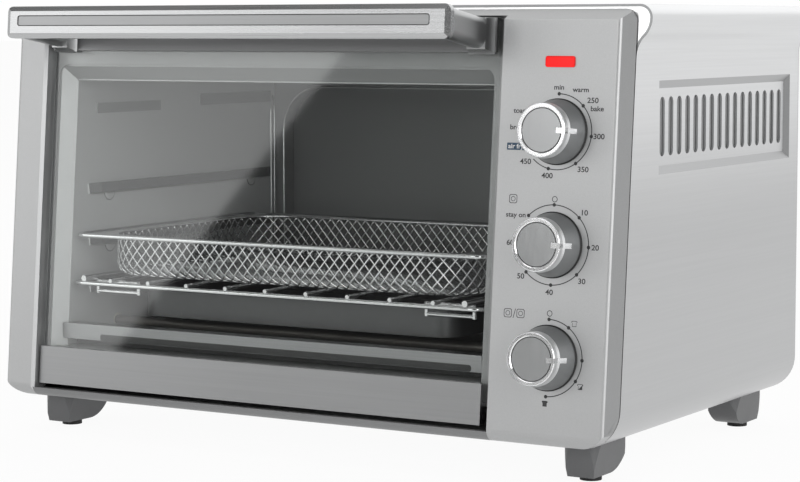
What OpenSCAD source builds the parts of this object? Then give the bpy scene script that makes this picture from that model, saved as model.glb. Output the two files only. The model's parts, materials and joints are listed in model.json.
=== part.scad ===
// Toaster oven with an air-fry basket, in millimetres, +Z up, front facing -Y.
// Everything is drawn in the oven's own axes: y = 0 is the seam between the front bezel and the
// case at the bottom of the body, z = 0 is the bottom of the body. upright() stands it on its
// feet. The whole front leans back by one angle; tilted() gives the axes of that leaning face,
// with y = 0 on the seam, -y out of the face and z up along it.

/* [Outer case] */
// Width across the flat sides
case_w = 430; // [390:1:470]
// Height of the wrapper above the bottom of the body
case_h = 243.6; // [220:0.1:270]
// Depth from the seam to the back edge of the wrapper
case_d = 257; // [220:1:290]
// Radius of the two lower corners
low_r = 22; // [10:0.5:30]
// Sheet metal thickness
sheet = 1.2; // [0.8:0.1:1.6]
// Backward lean of the whole front, degrees
lean = 5.14; // [0:0.01:8]
// Height of the body above the table
foot_h = 22; // [14:0.5:30]

/* [Case shoulders] */
// How far each shoulder swells past the side
shoulder_out = 8.6; // [4:0.1:12]
// Height of the shoulder curve below the top
shoulder_drop = 7.8; // [5:0.1:14]
// Radius of the swell below the widest line
shoulder_r = 14; // [8:0.5:20]
// Radius of the hollow that leads down to the flat side
cove_r = 15; // [8:0.5:24]

/* [Front hem of the case] */
// Gap between bezel and case at the seam
seam_gap = 1; // [0.4:0.1:2]
// Width of the hem at each side of the bezel
hem_in = 10; // [6:0.5:16]
// Bottom of the window
hem_low = 4.5; // [3:0.1:8]
// Step down from the bezel top to the hem opening
hem_drop = 2.1; // [1:0.1:5]
// Width of the lip turned in below the base plate
lip_w = 13; // [8:0.5:20]

/* [Bezel] */
// Step down from the case top to the bezel
bezel_drop = 2.5; // [1:0.1:6]
// Thickness of the bezel, square to the face
bezel_t = 9.2; // [5:0.1:14]
// How far the bezel narrows from seam to front
bezel_in = 5.65; // [2:0.05:9]
// Rounding between the front face and the narrowing sides
bezel_edge_r = 3; // [1:0.1:5]
// Radius of the upper corners at the seam
bezel_top_r = 7; // [3:0.5:12]
// Rounding of the lower front edge
bezel_low_r = 7; // [3:0.5:9]
// Chamfer on the left edge of the door opening
jamb_chamfer = 1.8; // [0.5:0.1:3]
// Set-back of the tongue that carries the bezel on the hem
tongue_in = 4; // [2:0.5:8]

/* [Door opening] */
// Width of the left post
post_w = 26.6; // [18:0.1:40]
// Gap between the door and the left jamb
gap_left = 1.2; // [0.8:0.1:3]
// Gap between the door and the control panel
gap_right = 7.1; // [3:0.1:10]
// Bottom of the opening, along the face
open_low = 5.1; // [3:0.1:7]
// Step down from the hem opening to the door opening
open_drop = 1; // [0.5:0.1:3]

/* [Door] */
// Width of the control panel
panel_w = 77.2; // [66:0.1:95]
// Door face in front of the seam
door_front = 4.5; // [2:0.1:8]
// Thickness of the door's front sheet
door_sheet = 1.2; // [0.8:0.1:2]
// Gap below the door
door_foot = 2.7; // [1.5:0.1:5]
// Gap above the door
door_gap = 1; // [0.6:0.1:3]
// Height that the rail covers of the glass
rail_lap = 11.1; // [6:0.1:18]
// Height of the floor under the glass
glass_low = 20.2; // [19:0.1:24]
// Height of the band over the glass
band_h = 19.4; // [12:0.1:30]
// Thickness of the band's top wall
band_wall = 1.6; // [1:0.1:2.5]
// Glass thickness
glass_t = 3.6; // [3:0.1:5]
// Glass set back behind the door face
glass_back = 2.5; // [1.5:0.1:3]

/* [Door hinge] */
// Hinge axis above the bottom of the body, along the face
hinge_z = 12.6; // [11:0.1:16]
// Hinge axis behind the seam plane
hinge_y = 0.5; // [0:0.1:2]
// Diameter of the hinge pins
pin_d = 4; // [3:0.1:5]
// Radial running clearance of pins and shafts
running = 0.05; // [0.02:0.01:0.1]
// Length of each hinge pin
pin_len = 8; // [5:0.5:14]
// Thickness of the hinge lugs
lug_t = 2; // [1.5:0.1:3]
// Outer radius of the hinge lugs
lug_r = 2.9; // [2.6:0.1:3.2]
// Lug set in from the end of the door
lug_in = 2.9; // [2.4:0.1:5]
// Side clearance of the lug in its slot
lug_gap = 0.7; // [0.4:0.1:1]
// How far back a lug reaches
lug_back = 10; // [7:0.5:14]
// Height of a lug's leg
lug_top = 27; // [20:0.5:29]

/* [Handle] */
// Step in from the door edge to the handle, left
handle_in0 = 3.7; // [1:0.1:12]
// Step in from the door edge to the handle, right
handle_in1 = 2.2; // [1:0.1:12]
// Height of the handle
handle_h = 19.3; // [14:0.1:26]
// Drop from the door top to the handle underside
handle_drop = 16; // [12:0.5:26]
// Front of the handle before the seam
handle_front = 54.4; // [40:0.1:70]
// Thickness of the handle plate
handle_t = 5; // [3:0.1:8]
// Corner radius of the handle
handle_r = 4; // [2:0.5:8]
// Width of the sloping border
handle_border = 3; // [1:0.1:5]
// Drop of the sloping border
handle_slope = 1.3; // [0.5:0.1:3]
// Plate left of the inlay
strip_in0 = 9; // [5:0.5:20]
// Plate right of the inlay
strip_in1 = 13; // [5:0.5:20]
// Strip above the middle of the handle
strip_up = 0.9; // [0:0.1:3]
// Height of the strip
strip_h = 5.6; // [3:0.1:10]
// Depth of the strip's groove
strip_t = 1; // [0.5:0.1:2]
// Groove around the strip
strip_gap = 0.4; // [0.2:0.1:1]
// Corner radius of the inlay
strip_r = 1; // [0.5:0.1:2]
// How far the inlay lies below the plate
strip_sink = 0.2; // [0.1:0.1:0.6]
// Width of an end return
return_w = 12; // [8:0.5:16]
// Height of an end return
return_h = 17.6; // [12:0.1:19]
// Rounding of an end return
return_r = 5; // [2:0.5:6]
// End return set in from the handle's end
return_in = 1; // [0.5:0.5:5]
// Fall of a return from handle to door, degrees
return_fall = 4; // [0:0.5:10]
// Flare of a return at the door
flare = 2.4; // [1:0.1:4]
// Length of the flare
flare_len = 7; // [4:0.5:12]
// Diameter of the screws in handle and feet
screw_d = 4; // [3:0.5:5]
// Length of a handle screw
screw_len = 14; // [8:0.5:20]
// Handle screws above and below the middle of the return
screw_rise = 3.5; // [2:0.5:6]

/* [Knobs] */
// Knob axis from the left edge of the panel
knob_in = 36.3; // [28:0.1:46]
// Height of the lowest knob, along the face
knob_z = 49; // [40:0.1:60]
// Height between knobs
knob_pitch = 62.3; // [50:0.1:75]
// Radius of a knob's base
knob_r = 17.7; // [14:0.1:22]
// Radius of a knob's front ring
ring_r = 14.7; // [11:0.1:16]
// Inner radius of the front ring
ring_in = 12.4; // [9:0.1:14]
// Height of a knob
knob_h = 20; // [14:0.1:26]
// Depth of the front ring
ring_h = 3.6; // [2:0.1:6]
// Edge chamfer of the front ring
ring_edge = 0.5; // [0.2:0.1:1]
// Gap between knob and panel
knob_gap = 0.8; // [0.4:0.1:2]
// Straight part at a knob's base
knob_base = 1.6; // [0.5:0.1:4]
// Set-back of the face inside the ring
knob_dish = 0.7; // [0.2:0.1:2]
// Width of the pointer
pointer_w = 2.9; // [1.5:0.1:5]
// Inner end of the pointer
pointer_in = 9.4; // [5:0.1:11]
// Length of the pointer down the side
pointer_drop = 7.5; // [4:0.5:12]
// Pointer stands this much above the knob
pointer_out = 0.15; // [0.1:0.05:0.5]
// Shaft diameter
shaft_d = 6; // [4:0.5:8]
// Hole in the panel around a shaft
shaft_hole = 9; // [7:0.5:12]
// Depth of a shaft inside its knob
shaft_in = 11; // [8:0.5:15]
// Gap behind the shaft in its control
shaft_end = 1; // [0.5:0.1:2]

/* [Controls behind the panel] */
// Bracket from the left edge of the panel
bracket_in = 3.2; // [2:0.1:6]
// Thickness of the bracket
bracket_t = 1.5; // [1:0.1:2.5]
// Bottom of the bracket
bracket_z0 = 22; // [16:0.5:30]
// Size of a control body
control_w = 32; // [24:1:44]
// Depth of a control body
control_d = 26; // [18:1:40]
// Diameter of a control's bush
bush_d = 9.4; // [8:0.1:12]
// Length of a bush in front of the bracket
bush_len = 7; // [4:0.5:8]
// Diameter of the timer's bell
bell_d = 28; // [20:1:32]
// Depth of the bell
bell_h = 8; // [5:0.5:12]

/* [Indicator lamp] */
// Width of the lamp
lamp_w = 18.2; // [10:0.1:24]
// Height of the lamp
lamp_h = 6.2; // [4:0.1:10]
// Corner radius of the lamp
lamp_r = 1.4; // [0.5:0.1:3]
// Lamp below the top of the bezel
lamp_drop = 28.9; // [20:0.1:40]
// Lamp stands this much above the panel
lamp_out = 0.7; // [0.3:0.1:2]

/* [Control panel shell] */
// Thickness of the panel's front wall
panel_wall = 2.4; // [1.6:0.1:4]
// Width of the panel's solid border
panel_border = 4; // [3:0.5:10]
// Solid edge of the panel at the right
panel_edge = 8; // [5:0.5:12]

/* [Cavity] */
// Left wall of the cavity from the door opening
cavity_in0 = 9.9; // [9:0.1:20]
// Right wall of the cavity from the door opening
cavity_in1 = 14.8; // [12:0.1:24]
// Height of the cavity floor
floor_z = 30.8; // [28:0.1:34]
// Space above the cavity
roof_gap = 34.1; // [30:0.1:50]
// Space behind the cavity wall
back_gap = 7; // [5:0.5:14]
// Drop of the lip below the ceiling
lip_drop = 9.8; // [6:0.1:16]
// Rise of the funnel from the lip to the glass
mouth_rise = 9.7; // [4:0.1:12]
// Mouth wider than the cavity on the left
mouth_left = 8; // [4:0.1:9]
// Mouth wider than the cavity on the right
mouth_right = 4; // [2:0.1:6]
// Depth of the sloping mouth
mouth_d = 9.3; // [6:0.1:14]
// Corner radius of the mouth
mouth_r = 8; // [3:0.5:14]
// Bottom of the front flange
flange_low = 18.2; // [17.6:0.1:24]
// Lap of the flange behind the hem
flange_lap = 3.5; // [2:0.1:5]
// Gap from the flange to the panel
flange_gap = 0.8; // [0.4:0.1:2]
// Rise of the flange above the hem opening
flange_rise = 2; // [1:0.1:3]
// Foot of the flange
flange_foot = 2.3; // [1.5:0.1:4]
// Gap between the flange and the inside of the case
flange_clear = 0.3; // [0.3:0.1:1]

/* [Back recess] */
// Wall left of the recess
recess_in0 = 8.5; // [4:0.5:20]
// Wall right of the recess
recess_in1 = 9; // [4:0.5:20]
// Wall below the recess
recess_up = 19.2; // [12:0.1:30]
// Wall above the recess
recess_drop = 21.2; // [14:0.1:30]
// Corner radius of the recess
recess_r = 30; // [15:0.5:40]
// Diameter of the cavity spacers
spacer_d = 7; // [5:0.5:8]
// Spacer set in from the cavity's edge
spacer_in = 10; // [8:0.5:12]
// Depth of the recess
recess_d = 13; // [8:0.5:16]

/* [Rack supports] */
// Height of a support rail
rail_h = 6.8; // [4:0.1:9]
// How far a rail stands off the wall
rail_out = 3.5; // [2:0.1:5]
// Rails behind the mouth
rail_in = 26.5; // [20:0.5:40]
// Rails before the back wall
rail_short = 6; // [2:0.5:20]
// Length of a rail's pointed end
rail_tip = 9; // [4:0.5:14]
// Top of the upper rail
upper_rail = 132; // [125:0.5:150]

/* [Wire rack] */
// Height of the rack frame
rack_z = 70.5; // [60:0.1:80]
// Diameter of the frame wire
wire_d = 3; // [2:0.1:4]
// Diameter of the lengthwise wires
bar_d = 2.6; // [2:0.1:3.2]
// Rack behind the mouth
rack_in = 5.5; // [4:0.5:14]
// Rack before the back wall
rack_short = 14; // [8:0.5:30]
// Rack wire from the side wall
rack_side = 2.55; // [2:0.05:6]
// Spacing of the lengthwise wires
bar_pitch = 29.25; // [20:0.25:35]
// Side bar from the frame wire
side_bar_in = 10.2; // [6:0.1:16]
// Diameter of the outer thick wires
side_bar_d = 3.8; // [3:0.1:4.4]
// Bend radius of the frame
rack_bend = 8; // [5:0.5:20]
// Overlap of welded wires
weld = 0.3; // [0.1:0.1:0.6]

/* [Baking pan] */
// Pan rim from the side wall
pan_side = 28.25; // [24:0.25:40]
// Pan behind the mouth
pan_in = 23.5; // [18:0.5:40]
// Pan before the back wall
pan_short = 42; // [30:0.5:60]
// Height of the pan
pan_h = 18; // [12:0.5:18.5]
// Pan rim below the rack wire
pan_drop = 3.5; // [3:0.1:8]
// Corner radius of the pan
pan_r = 22; // [10:0.5:30]
// Wall thickness of the pan
pan_t = 1; // [0.6:0.1:1.6]
// Width of the pan's flat rim
pan_rim = 7; // [4:0.5:12]
// Hook wire diameter
hook_d = 2.6; // [2:0.1:3]
// Hooks this far in front of and behind the pan
hook_gap = 6; // [4:0.5:8]
// Lap of the hook under the side bar
hook_lap = 1; // [0.5:0.1:2]
// Width of a hook
hook_w = 32; // [20:0.5:40]

/* [Air-fry basket] */
// Height of the basket's rim wire
basket_z = 100.5; // [90:0.1:120]
// Basket behind the mouth
basket_in = 8.5; // [6:0.5:20]
// Basket before the back wall
basket_short = 38; // [20:0.5:60]
// Flat rim beside the mesh
mesh_side = 14; // [8:0.5:30]
// Corner radius of the mesh box
mesh_r = 31; // [15:0.5:40]
// Front wall of the mesh, behind the front rim wire
mesh_in = 5; // [3:0.5:10]
// Depth of the basket
mesh_drop = 25.5; // [18:0.5:26]
// Mesh thickness
mesh_t = 1; // [0.8:0.1:2]
// Width of one mesh diamond
cell_w = 9.4; // [8:0.1:16]
// Height of one mesh diamond
cell_h = 8.6; // [8:0.1:16]
// Width of a mesh strand
strand = 1.5; // [0.8:0.1:2.5]
// Solid border of each wall
mesh_edge = 1.6; // [1:0.1:4]
// Width of one diamond in the basket floor
floor_cell = 15; // [10:0.5:20]

/* [Crumb tray] */
// Tray from the side wall
tray_side = 2.25; // [1:0.25:8]
// Tray behind the mouth
tray_in = 9.5; // [6:0.5:16]
// Tray before the back wall
tray_short = 10; // [4:0.5:30]
// Sheet thickness of the tray
tray_t = 0.8; // [0.6:0.1:1.2]
// Gap under the tray
tray_gap = 0.4; // [0.3:0.1:0.8]
// Height of the side walls
tray_wall = 3; // [2:0.5:4]
// Lip before the tray
grip_out = 9.6; // [6:0.1:9.6]
// Top of the lip above the cavity floor
grip_rise = 14.5; // [10:0.1:16]
// Gap below the lip
grip_up = 4.7; // [2:0.1:8]
// Lip past the tray at each side
grip_side = 3; // [0:0.5:3]

/* [Heating elements] */
// Diameter of an element
rod_d = 6.5; // [5:0.1:8]
// Front element
rod_y0 = 66; // [50:1:90]
// Rear rods before the back wall
rod_back = 60; // [40:1:90]
// Upper rods below the ceiling
rod_drop = 6.5; // [5:0.1:9]
// Lower rods above the floor
rod_up = 10.4; // [9:0.1:12]
// Element reaches this far past the walls
rod_out = 14; // [8:0.5:20]
// Diameter of the insulators
collar_d = 13; // [10:0.5:16]
// Diameter of an insulator's neck
neck_d = 9; // [8:0.5:10]
// Length of an insulator outside the wall
collar_len = 6; // [4:0.5:10]

/* [Convection fan] */
// Fan axis before the back wall
fan_in = 100; // [70:1:140]
// Fan axis below the ceiling
fan_drop = 44.5; // [42:0.5:50]
// Fan radius
fan_r = 36; // [28:0.5:38]
// Width of the blades
blade_w = 12; // [8:0.5:16]
// Thickness of a blade
blade_t = 1; // [0.8:0.1:2]
// Number of blades
blades = 6; // [4:1:8]
// Hub diameter
hub_d = 16; // [10:0.5:20]
// Depth of the fan housing
housing_d = 22; // [18:0.5:28]
// Wall of the housing
housing_t = 1.2; // [1:0.1:2]
// Gap round the fan
housing_gap = 4; // [2:0.5:6]
// Motor diameter
motor_d = 42; // [30:1:50]
// Motor length
motor_len = 28; // [20:1:34]
// Fan shaft diameter
fan_shaft_d = 5; // [4:0.5:6]
// Hole in the grille
grille_hole = 4.4; // [3:0.1:6]
// Rings of grille holes
grille_rings = 3; // [2:1:4]
// Ring spacing of the grille holes
grille_pitch = 7.5; // [6:0.5:10]

/* [Side vents] */
// Front edge of the pressed panel
vent_y0 = 49; // [40:0.5:60]
// Vent panel before the back of the case
vent_in = 12.7; // [9:0.1:40]
// Height of the vent panel
vent_h = 54.3; // [40:0.1:70]
// Vent panel below the top of the case
vent_drop = 41.3; // [36:0.1:60]
// Width of the sloping edge
vent_slope = 4.4; // [2:0.1:8]
// Depth of the pressing
vent_d = 2.5; // [1:0.1:4]
// Flat rim around the pressing
vent_rim = 1; // [0.5:0.1:3]
// Slot spacing
slot_pitch = 11.45; // [8:0.05:14]
// Slot width
slot_w = 6.5; // [4:0.1:8]
// Vent slots below the panel top
slot_high = 10.3; // [6:0.1:16]
// First slot from the front edge
slot_first = 10.7; // [8:0.1:14]
// Bottom of the slots above the bottom edge
slot_low = 10.7; // [8:0.1:14]

/* [Back cover] */
// Depth of the pressed box in the cover
bulge_d = 18; // [12:0.5:22]
// Rim beside the back box
bulge_in = 19; // [14:0.5:40]
// Bottom of the pressed box
bulge_z0 = 18; // [10:0.5:30]
// Rim above the back box
bulge_drop = 31.6; // [24:0.1:50]
// Slope of the pressed box
bulge_slope = 8; // [4:0.5:12]
// Vent slots across the cover
back_slots = 18; // [8:1:24]
// Spacing of those slots
back_pitch = 17; // [12:0.5:22]
// Length of those slots
back_slot_h = 26; // [15:0.5:40]
// Width of those slots
back_slot_w = 5; // [3:0.5:7]
// Bottom of the lower row of slots
back_slot_z0 = 60; // [30:1:80]
// Bottom of the upper row of slots
back_slot_z1 = 150; // [110:1:170]
// Vent slots across the base
base_slots = 14; // [6:1:18]
// First row of slots in the base from the front
base_slot_y = 64; // [50:1:90]
// Second row of slots in the base from the back
base_slot_back = 107; // [80:1:120]
// Case screws from the side
screw_in = 9; // [7:0.5:12]
// Height of the lowest case screw
screw_z0 = 32; // [25:1:50]
// Height between case screws
screw_step = 80; // [50:1:100]
// Diameter of a case screw head
head_d = 6.5; // [5:0.5:8]
// Height of a case screw head
head_h = 1.8; // [1:0.1:3]
// Cord inlet from the side of the back box
inlet_in = 31; // [20:1:60]
// Height of the cord inlet
inlet_z = 40; // [30:1:60]
// Outer diameter of the inlet bushing
inlet_d = 17; // [12:0.5:22]
// Length of the inlet bushing
inlet_len = 5; // [3:0.5:8]
// Hole of the inlet bushing
inlet_hole = 7.5; // [5:0.5:10]

/* [Feet] */
// Foot from the side of the case
foot_in = 29.4; // [24:0.1:50]
// Width of a foot at the top
foot_w = 22.4; // [16:0.1:30]
// Width of a foot at the bottom
foot_w2 = 16.3; // [12:0.1:22]
// Front of the front feet
foot_y0 = 11; // [8:0.5:20]
// Length of a foot
foot_len = 42; // [30:0.5:60]
// Height of the moulded foot
foot_body = 19; // [12:0.5:20]
// Radius of the foot's inner sweep
foot_sweep = 18; // [12:0.5:18.5]
// Slope of a foot's end, from top to bottom
foot_draft = 2.5; // [1:0.1:5]
// Foot screw behind the pad
foot_screw_y = 12; // [10:0.5:14]
// Foot screw below the body
foot_screw_len = 8; // [5:0.5:12]
// Head diameter of the foot screws
foot_head_d = 8; // [6:0.5:10]
// Head height of the foot screws
foot_head_h = 2; // [1:0.1:3]
// Corner radius of a foot
foot_r = 7; // [3:0.5:10]
// Rear foot from the back of the case
foot_back = 6.5; // [3:0.5:20]
// Pad diameter
pad_d = 12.5; // [8:0.5:14]
// Middle of a pad behind the front of its foot
pad_y = 15.5; // [12:0.5:20]
// Pad let into the foot
pad_in = 1; // [0.5:0.5:3]

/* [Hidden] */
$fn = 64;
back_lead = 0.8;
far = 500;

shoulder_w = case_w + 2 * shoulder_out;
shoulder_z = case_h - shoulder_drop;
bezel_h = case_h - bezel_drop;
hem_half = case_w / 2 - hem_in;
hem_top = bezel_h - hem_drop;
open_top = hem_top - open_drop;
door_top = open_top - door_gap;
door_low = open_low + door_foot;
rail_top = glass_low + rail_lap;
band_low = door_top - band_h;
handle_z = door_top - handle_drop;
lamp_z = bezel_h - lamp_drop;
roof_z = case_h - roof_gap;
cavity_back = case_d - back_gap;
lip_z = roof_z - lip_drop;
mouth_top = lip_z + mouth_rise;
flange_left = hem_half + flange_lap;
flange_top = hem_top + flange_rise;
recess_z0 = floor_z + recess_up;
recess_z1 = roof_z - recess_drop;
grip_z1 = floor_z + grip_rise;
grip_z0 = floor_z + grip_up;
rod_top = roof_z - rod_drop;
rod_low = floor_z + rod_up;
fan_z = roof_z - fan_drop;
vent_z1 = case_h - vent_drop;
vent_z0 = vent_z1 - vent_h;
bulge_z1 = case_h - bulge_drop;
slot_h = vent_h - slot_low - slot_high;
bulge_half = case_w / 2 - bulge_in;
screw_x = case_w / 2 - screw_in;
inlet_x = bulge_half - inlet_in;
foot_x = case_w / 2 - foot_in;
foot_y1 = case_d - foot_back;
vent_y1 = case_d - vent_in;
slots = floor((vent_y1 - vent_y0 - 2 * slot_first) / slot_pitch) + 1;
pan_z1 = rack_z - pan_drop;
pan_z0 = pan_z1 - pan_h;
mesh_z = basket_z - mesh_drop;
bezel_z = up(bezel_h, 0);
bezel_z1 = up(bezel_h - bezel_in, bezel_t);
open_x0 = post_w - case_w / 2;
open_x1 = case_w / 2 - panel_w;
door_x0 = open_x0 + gap_left;
door_x1 = open_x1 - gap_right;
handle_x0 = door_x0 + handle_in0;
handle_x1 = door_x1 - handle_in1;
handle_x = (handle_x0 + handle_x1) / 2;
handle_w = handle_x1 - handle_x0;
strip_x = handle_x + (strip_in0 - strip_in1) / 2;
strip_w = handle_w - strip_in0 - strip_in1;
glass_y = -door_front + glass_back;
door_back = glass_y + glass_t;
frame_y = seam_gap + sheet;
frame_y1 = frame_y + sheet;
mouth_y = frame_y + mouth_d;
cavity_x0 = open_x0 + cavity_in0;
cavity_x1 = open_x1 - cavity_in1;
cavity_x = (cavity_x0 + cavity_x1) / 2;
cavity_half = (cavity_x1 - cavity_x0) / 2;
mouth_x0 = cavity_x0 - mouth_left;
mouth_x1 = cavity_x1 + mouth_right;
lip_x = case_w / 2 - low_r - lip_w;
fan_x = cavity_x1 + sheet;
shaft_back = bezel_t + frame_y + bracket_t + control_d / 2 - shaft_end;
knob_x = open_x1 + knob_in;
bracket_x = open_x1 + bracket_in;
flange_right = open_x1 - flange_gap;
recess_x0 = cavity_x0 + recess_in0;
recess_x1 = cavity_x1 - recess_in1;
rail_y0 = mouth_y + rail_in;
rail_y1 = cavity_back - rail_short;
rack_y0 = mouth_y + rack_in;
rack_y1 = cavity_back - rack_short;
rack_half = cavity_half - rack_side;
side_bar = rack_half - side_bar_in;
bars_side = floor((side_bar - side_bar_d) / bar_pitch);
pan_half = cavity_half - pan_side;
pan_y0 = mouth_y + pan_in;
pan_y1 = cavity_back - pan_short;
hook_out = side_bar - hook_lap;
basket_y0 = mouth_y + basket_in;
basket_y1 = cavity_back - basket_short;
mesh_half = rack_half - mesh_side;
corner_cells = floor(mesh_r * PI / 2 / cell_w);
floor_rows = ceil(2 * mesh_half / floor_cell);
tray_half = cavity_half - tray_side;
tray_y0 = mouth_y + tray_in;
tray_y1 = cavity_back - tray_short;
grip_y = tray_y0 - grip_out;
grip_half = tray_half + grip_side;
rod_y1 = cavity_back - rod_back;
fan_y = cavity_back - fan_in;
mesh_tall = basket_z - tray_t / 2 - mesh_z - mesh_t;
front_y = -handle_front * cos(lean) + (handle_z + handle_border) * sin(lean);
mid_y = (case_d + bulge_d + front_y) / 2;

// Height along the leaning face of a point z above the body's bottom and w before the seam
function up(z, w) = z / cos(lean) - w * tan(lean);

module upright() translate([0, -mid_y, foot_h]) children();
module lean_back() rotate([-lean, 0, 0]) children();
module tilted() upright() lean_back() children();

module block(x0, x1, y0, y1, z0, z1)
    translate([x0, y0, z0]) cube([x1 - x0, y1 - y0, z1 - z0]);

// A profile in x and z, drawn from y0 back to y1
module along_y(y0, y1) translate([0, y1, 0]) rotate([90, 0, 0]) linear_extrude(y1 - y0) children();

// A profile in y and z, drawn from x0 to x1
module along_x(x0, x1)
    translate([x0, 0, 0]) rotate([90, 0, 90]) linear_extrude(x1 - x0) children();

// A profile in x and y, drawn from z0 up to z1
module along_z(z0, z1) translate([0, 0, z0]) linear_extrude(z1 - z0) children();

module rounded(x0, x1, y0, y1, r) {
    translate([x0 + r, y0]) square([x1 - x0 - 2 * r, y1 - y0]);
    translate([x0, y0 + r]) square([x1 - x0, y1 - y0 - 2 * r]);
    for (x = [x0 + r, x1 - r], y = [y0 + r, y1 - r]) translate([x, y]) circle(r);
}

// Everything behind a plane that leans with the face
module behind(y) lean_back() block(-far, far, y, far, -far, far);

// ---------------------------------------------------------------- outer case

module half_shoulder(t) {
    cx = shoulder_w / 2 - shoulder_r;
    top_r = case_h - shoulder_z;
    reach = shoulder_r + cove_r;
    dx = case_w / 2 + cove_r - cx;
    dz = sqrt(reach * reach - dx * dx);
    tx = cx + (shoulder_r - t) * dx / reach;
    tz = shoulder_z - (shoulder_r - t) * dz / reach;
    intersection() {
        translate([shoulder_w / 2 - top_r, shoulder_z]) circle(top_r - t);
        translate([0, shoulder_z]) square([shoulder_w, shoulder_w]);
    }
    translate([0, shoulder_z - top_r]) square([shoulder_w / 2 - top_r, 2 * top_r - t]);
    intersection() {
        translate([cx, shoulder_z]) circle(shoulder_r - t);
        translate([cx, tz]) square([shoulder_w, shoulder_z - tz]);
    }
    difference() {
        translate([0, shoulder_z - dz]) square([tx, tz - shoulder_z + dz]);
        translate([case_w / 2 + cove_r, shoulder_z - dz]) circle(cove_r + t);
    }
    translate([0, shoulder_z - dz]) square([cx, dz]);
    translate([0, low_r]) square([case_w / 2 - t, shoulder_z - dz - low_r]);
}

module case_outline(t) {
    half_shoulder(t);
    mirror([1, 0]) half_shoulder(t);
    translate([-(case_w / 2 - low_r), t]) square([case_w - 2 * low_r, low_r - t]);
    for (s = [-1, 1]) translate([s * (case_w / 2 - low_r), low_r]) circle(low_r - t);
}

module outer_case() color("silver") upright() difference() {
    union() {
        intersection() {
            along_y(-bezel_t, case_d) difference() {
                case_outline(0);
                case_outline(sheet);
            }
            behind(seam_gap);
        }
        intersection() {
            along_y(-bezel_t, case_d) case_outline(0);
            lean_back() difference() {
                block(-far, far, seam_gap, frame_y, -far, far);
                along_y(0, far) rounded(-hem_half, hem_half, hem_low, hem_top, bezel_top_r);
            }
        }
    }
    block(-lip_x, lip_x, frame_y1, far, -sheet, 2 * sheet);
    block(0, far, vent_y0, vent_y1, vent_z0, vent_z1);
    foot_places() foot_screw(0);
}

// An upright slot with round ends, its foot at the origin
module slot(w, h) {
    translate([0, w / 2]) circle(w / 2);
    translate([0, h - w / 2]) circle(w / 2);
    translate([-w / 2, w / 2]) square([w, h - w]);
}

// Pressed vent panel in the right side
module vent_well(depth, rim) {
    x0 = case_w / 2 - depth;
    x1 = case_w / 2;
    y0 = vent_y0 + rim;
    y1 = vent_y1 - rim;
    z0 = vent_z0 + rim;
    z1 = vent_z1 - rim;
    s = vent_slope;
    intersection() {
        along_z(z0, z1) polygon([[x0, y0 + s], [x1, y0], [x1, y1], [x0, y1 - s]]);
        along_y(y0, y1) polygon([[x0, z0 + s], [x1, z0], [x1, z1], [x0, z1 - s]]);
    }
}

module side_vent_panel() color("silver") upright() difference() {
    vent_well(vent_d + sheet, 0);
    vent_well(vent_d, vent_rim);
    for (i = [0:slots - 1])
        along_x(0, far) translate([vent_y0 + slot_first + i * slot_pitch, vent_z0 + slot_low])
            slot(slot_w, slot_h);
}

// The pressed box of the back cover, moved in by t; grow draws it out in front of the sheet,
// along its own slopes, till each side lies that much wider
module back_box(t, grow) {
    s = bulge_slope;
    y1 = case_d + bulge_d - t;
    y0 = case_d - (y1 - case_d) * grow / s;
    h0 = bulge_half - t + grow;
    h1 = bulge_half - t - s;
    z0 = bulge_z0 + t;
    z1 = bulge_z1 - t;
    intersection() {
        along_z(z0 - grow, z1 + grow) polygon([[-h0, y0], [h0, y0], [h1, y1], [-h1, y1]]);
        along_x(-h0, h0) polygon([[y0, z0 - grow], [y0, z1 + grow], [y1, z1 - s], [y1, z0 + s]]);
    }
}

module back_cover() color("silver") upright() difference() {
    union() {
        along_y(case_d, case_d + sheet) case_outline(0);
        back_box(0, 0);
    }
    back_box(sheet, back_lead);
    for (i = [0:back_slots - 1], z = [back_slot_z0, back_slot_z1])
        along_y(case_d, far) translate([(i - (back_slots - 1) / 2) * back_pitch, z])
            slot(back_slot_w, back_slot_h);
    along_y(case_d, far) translate([inlet_x, inlet_z]) circle(d = inlet_d);
}

module cord_inlet() color("black") upright()
    along_y(case_d + bulge_d - inlet_len, case_d + bulge_d) translate([inlet_x, inlet_z])
        difference() {
            circle(d = inlet_d);
            circle(d = inlet_hole);
        }

module case_screws() color("dimgray") upright() {
    for (s = [-1, 1], z = [screw_z0 : screw_step : case_h - low_r])
        along_y(case_d + sheet, case_d + sheet + head_h)
            translate([s * screw_x, z]) circle(d = head_d);
}

module base_plate() color("dimgray") upright() difference() {
    block(low_r - case_w / 2, case_w / 2 - low_r, frame_y1, case_d, sheet, 2 * sheet);
    for (i = [0:base_slots - 1], s = [0, 1])
        along_z(0, low_r) translate([(i - (base_slots - 1) / 2) * back_pitch,
            s == 0 ? base_slot_y : case_d - base_slot_back]) slot(back_slot_w, back_slot_h);
    foot_places() foot_screw(0);
}

// ---------------------------------------------------------------- bezel

module bezel_outline(t) {
    half = case_w / 2;
    translate([t - half, low_r]) square([2 * (half - t), bezel_z - bezel_top_r - low_r]);
    translate([low_r - half, t]) square([2 * (half - low_r), low_r - t]);
    translate([bezel_top_r - half, bezel_z - bezel_top_r])
        square([2 * (half - bezel_top_r), bezel_top_r - t]);
    for (s = [-1, 1]) {
        translate([s * (half - low_r), low_r]) circle(low_r - t);
        translate([s * (half - bezel_top_r), bezel_z - bezel_top_r]) circle(bezel_top_r - t);
    }
}

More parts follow.
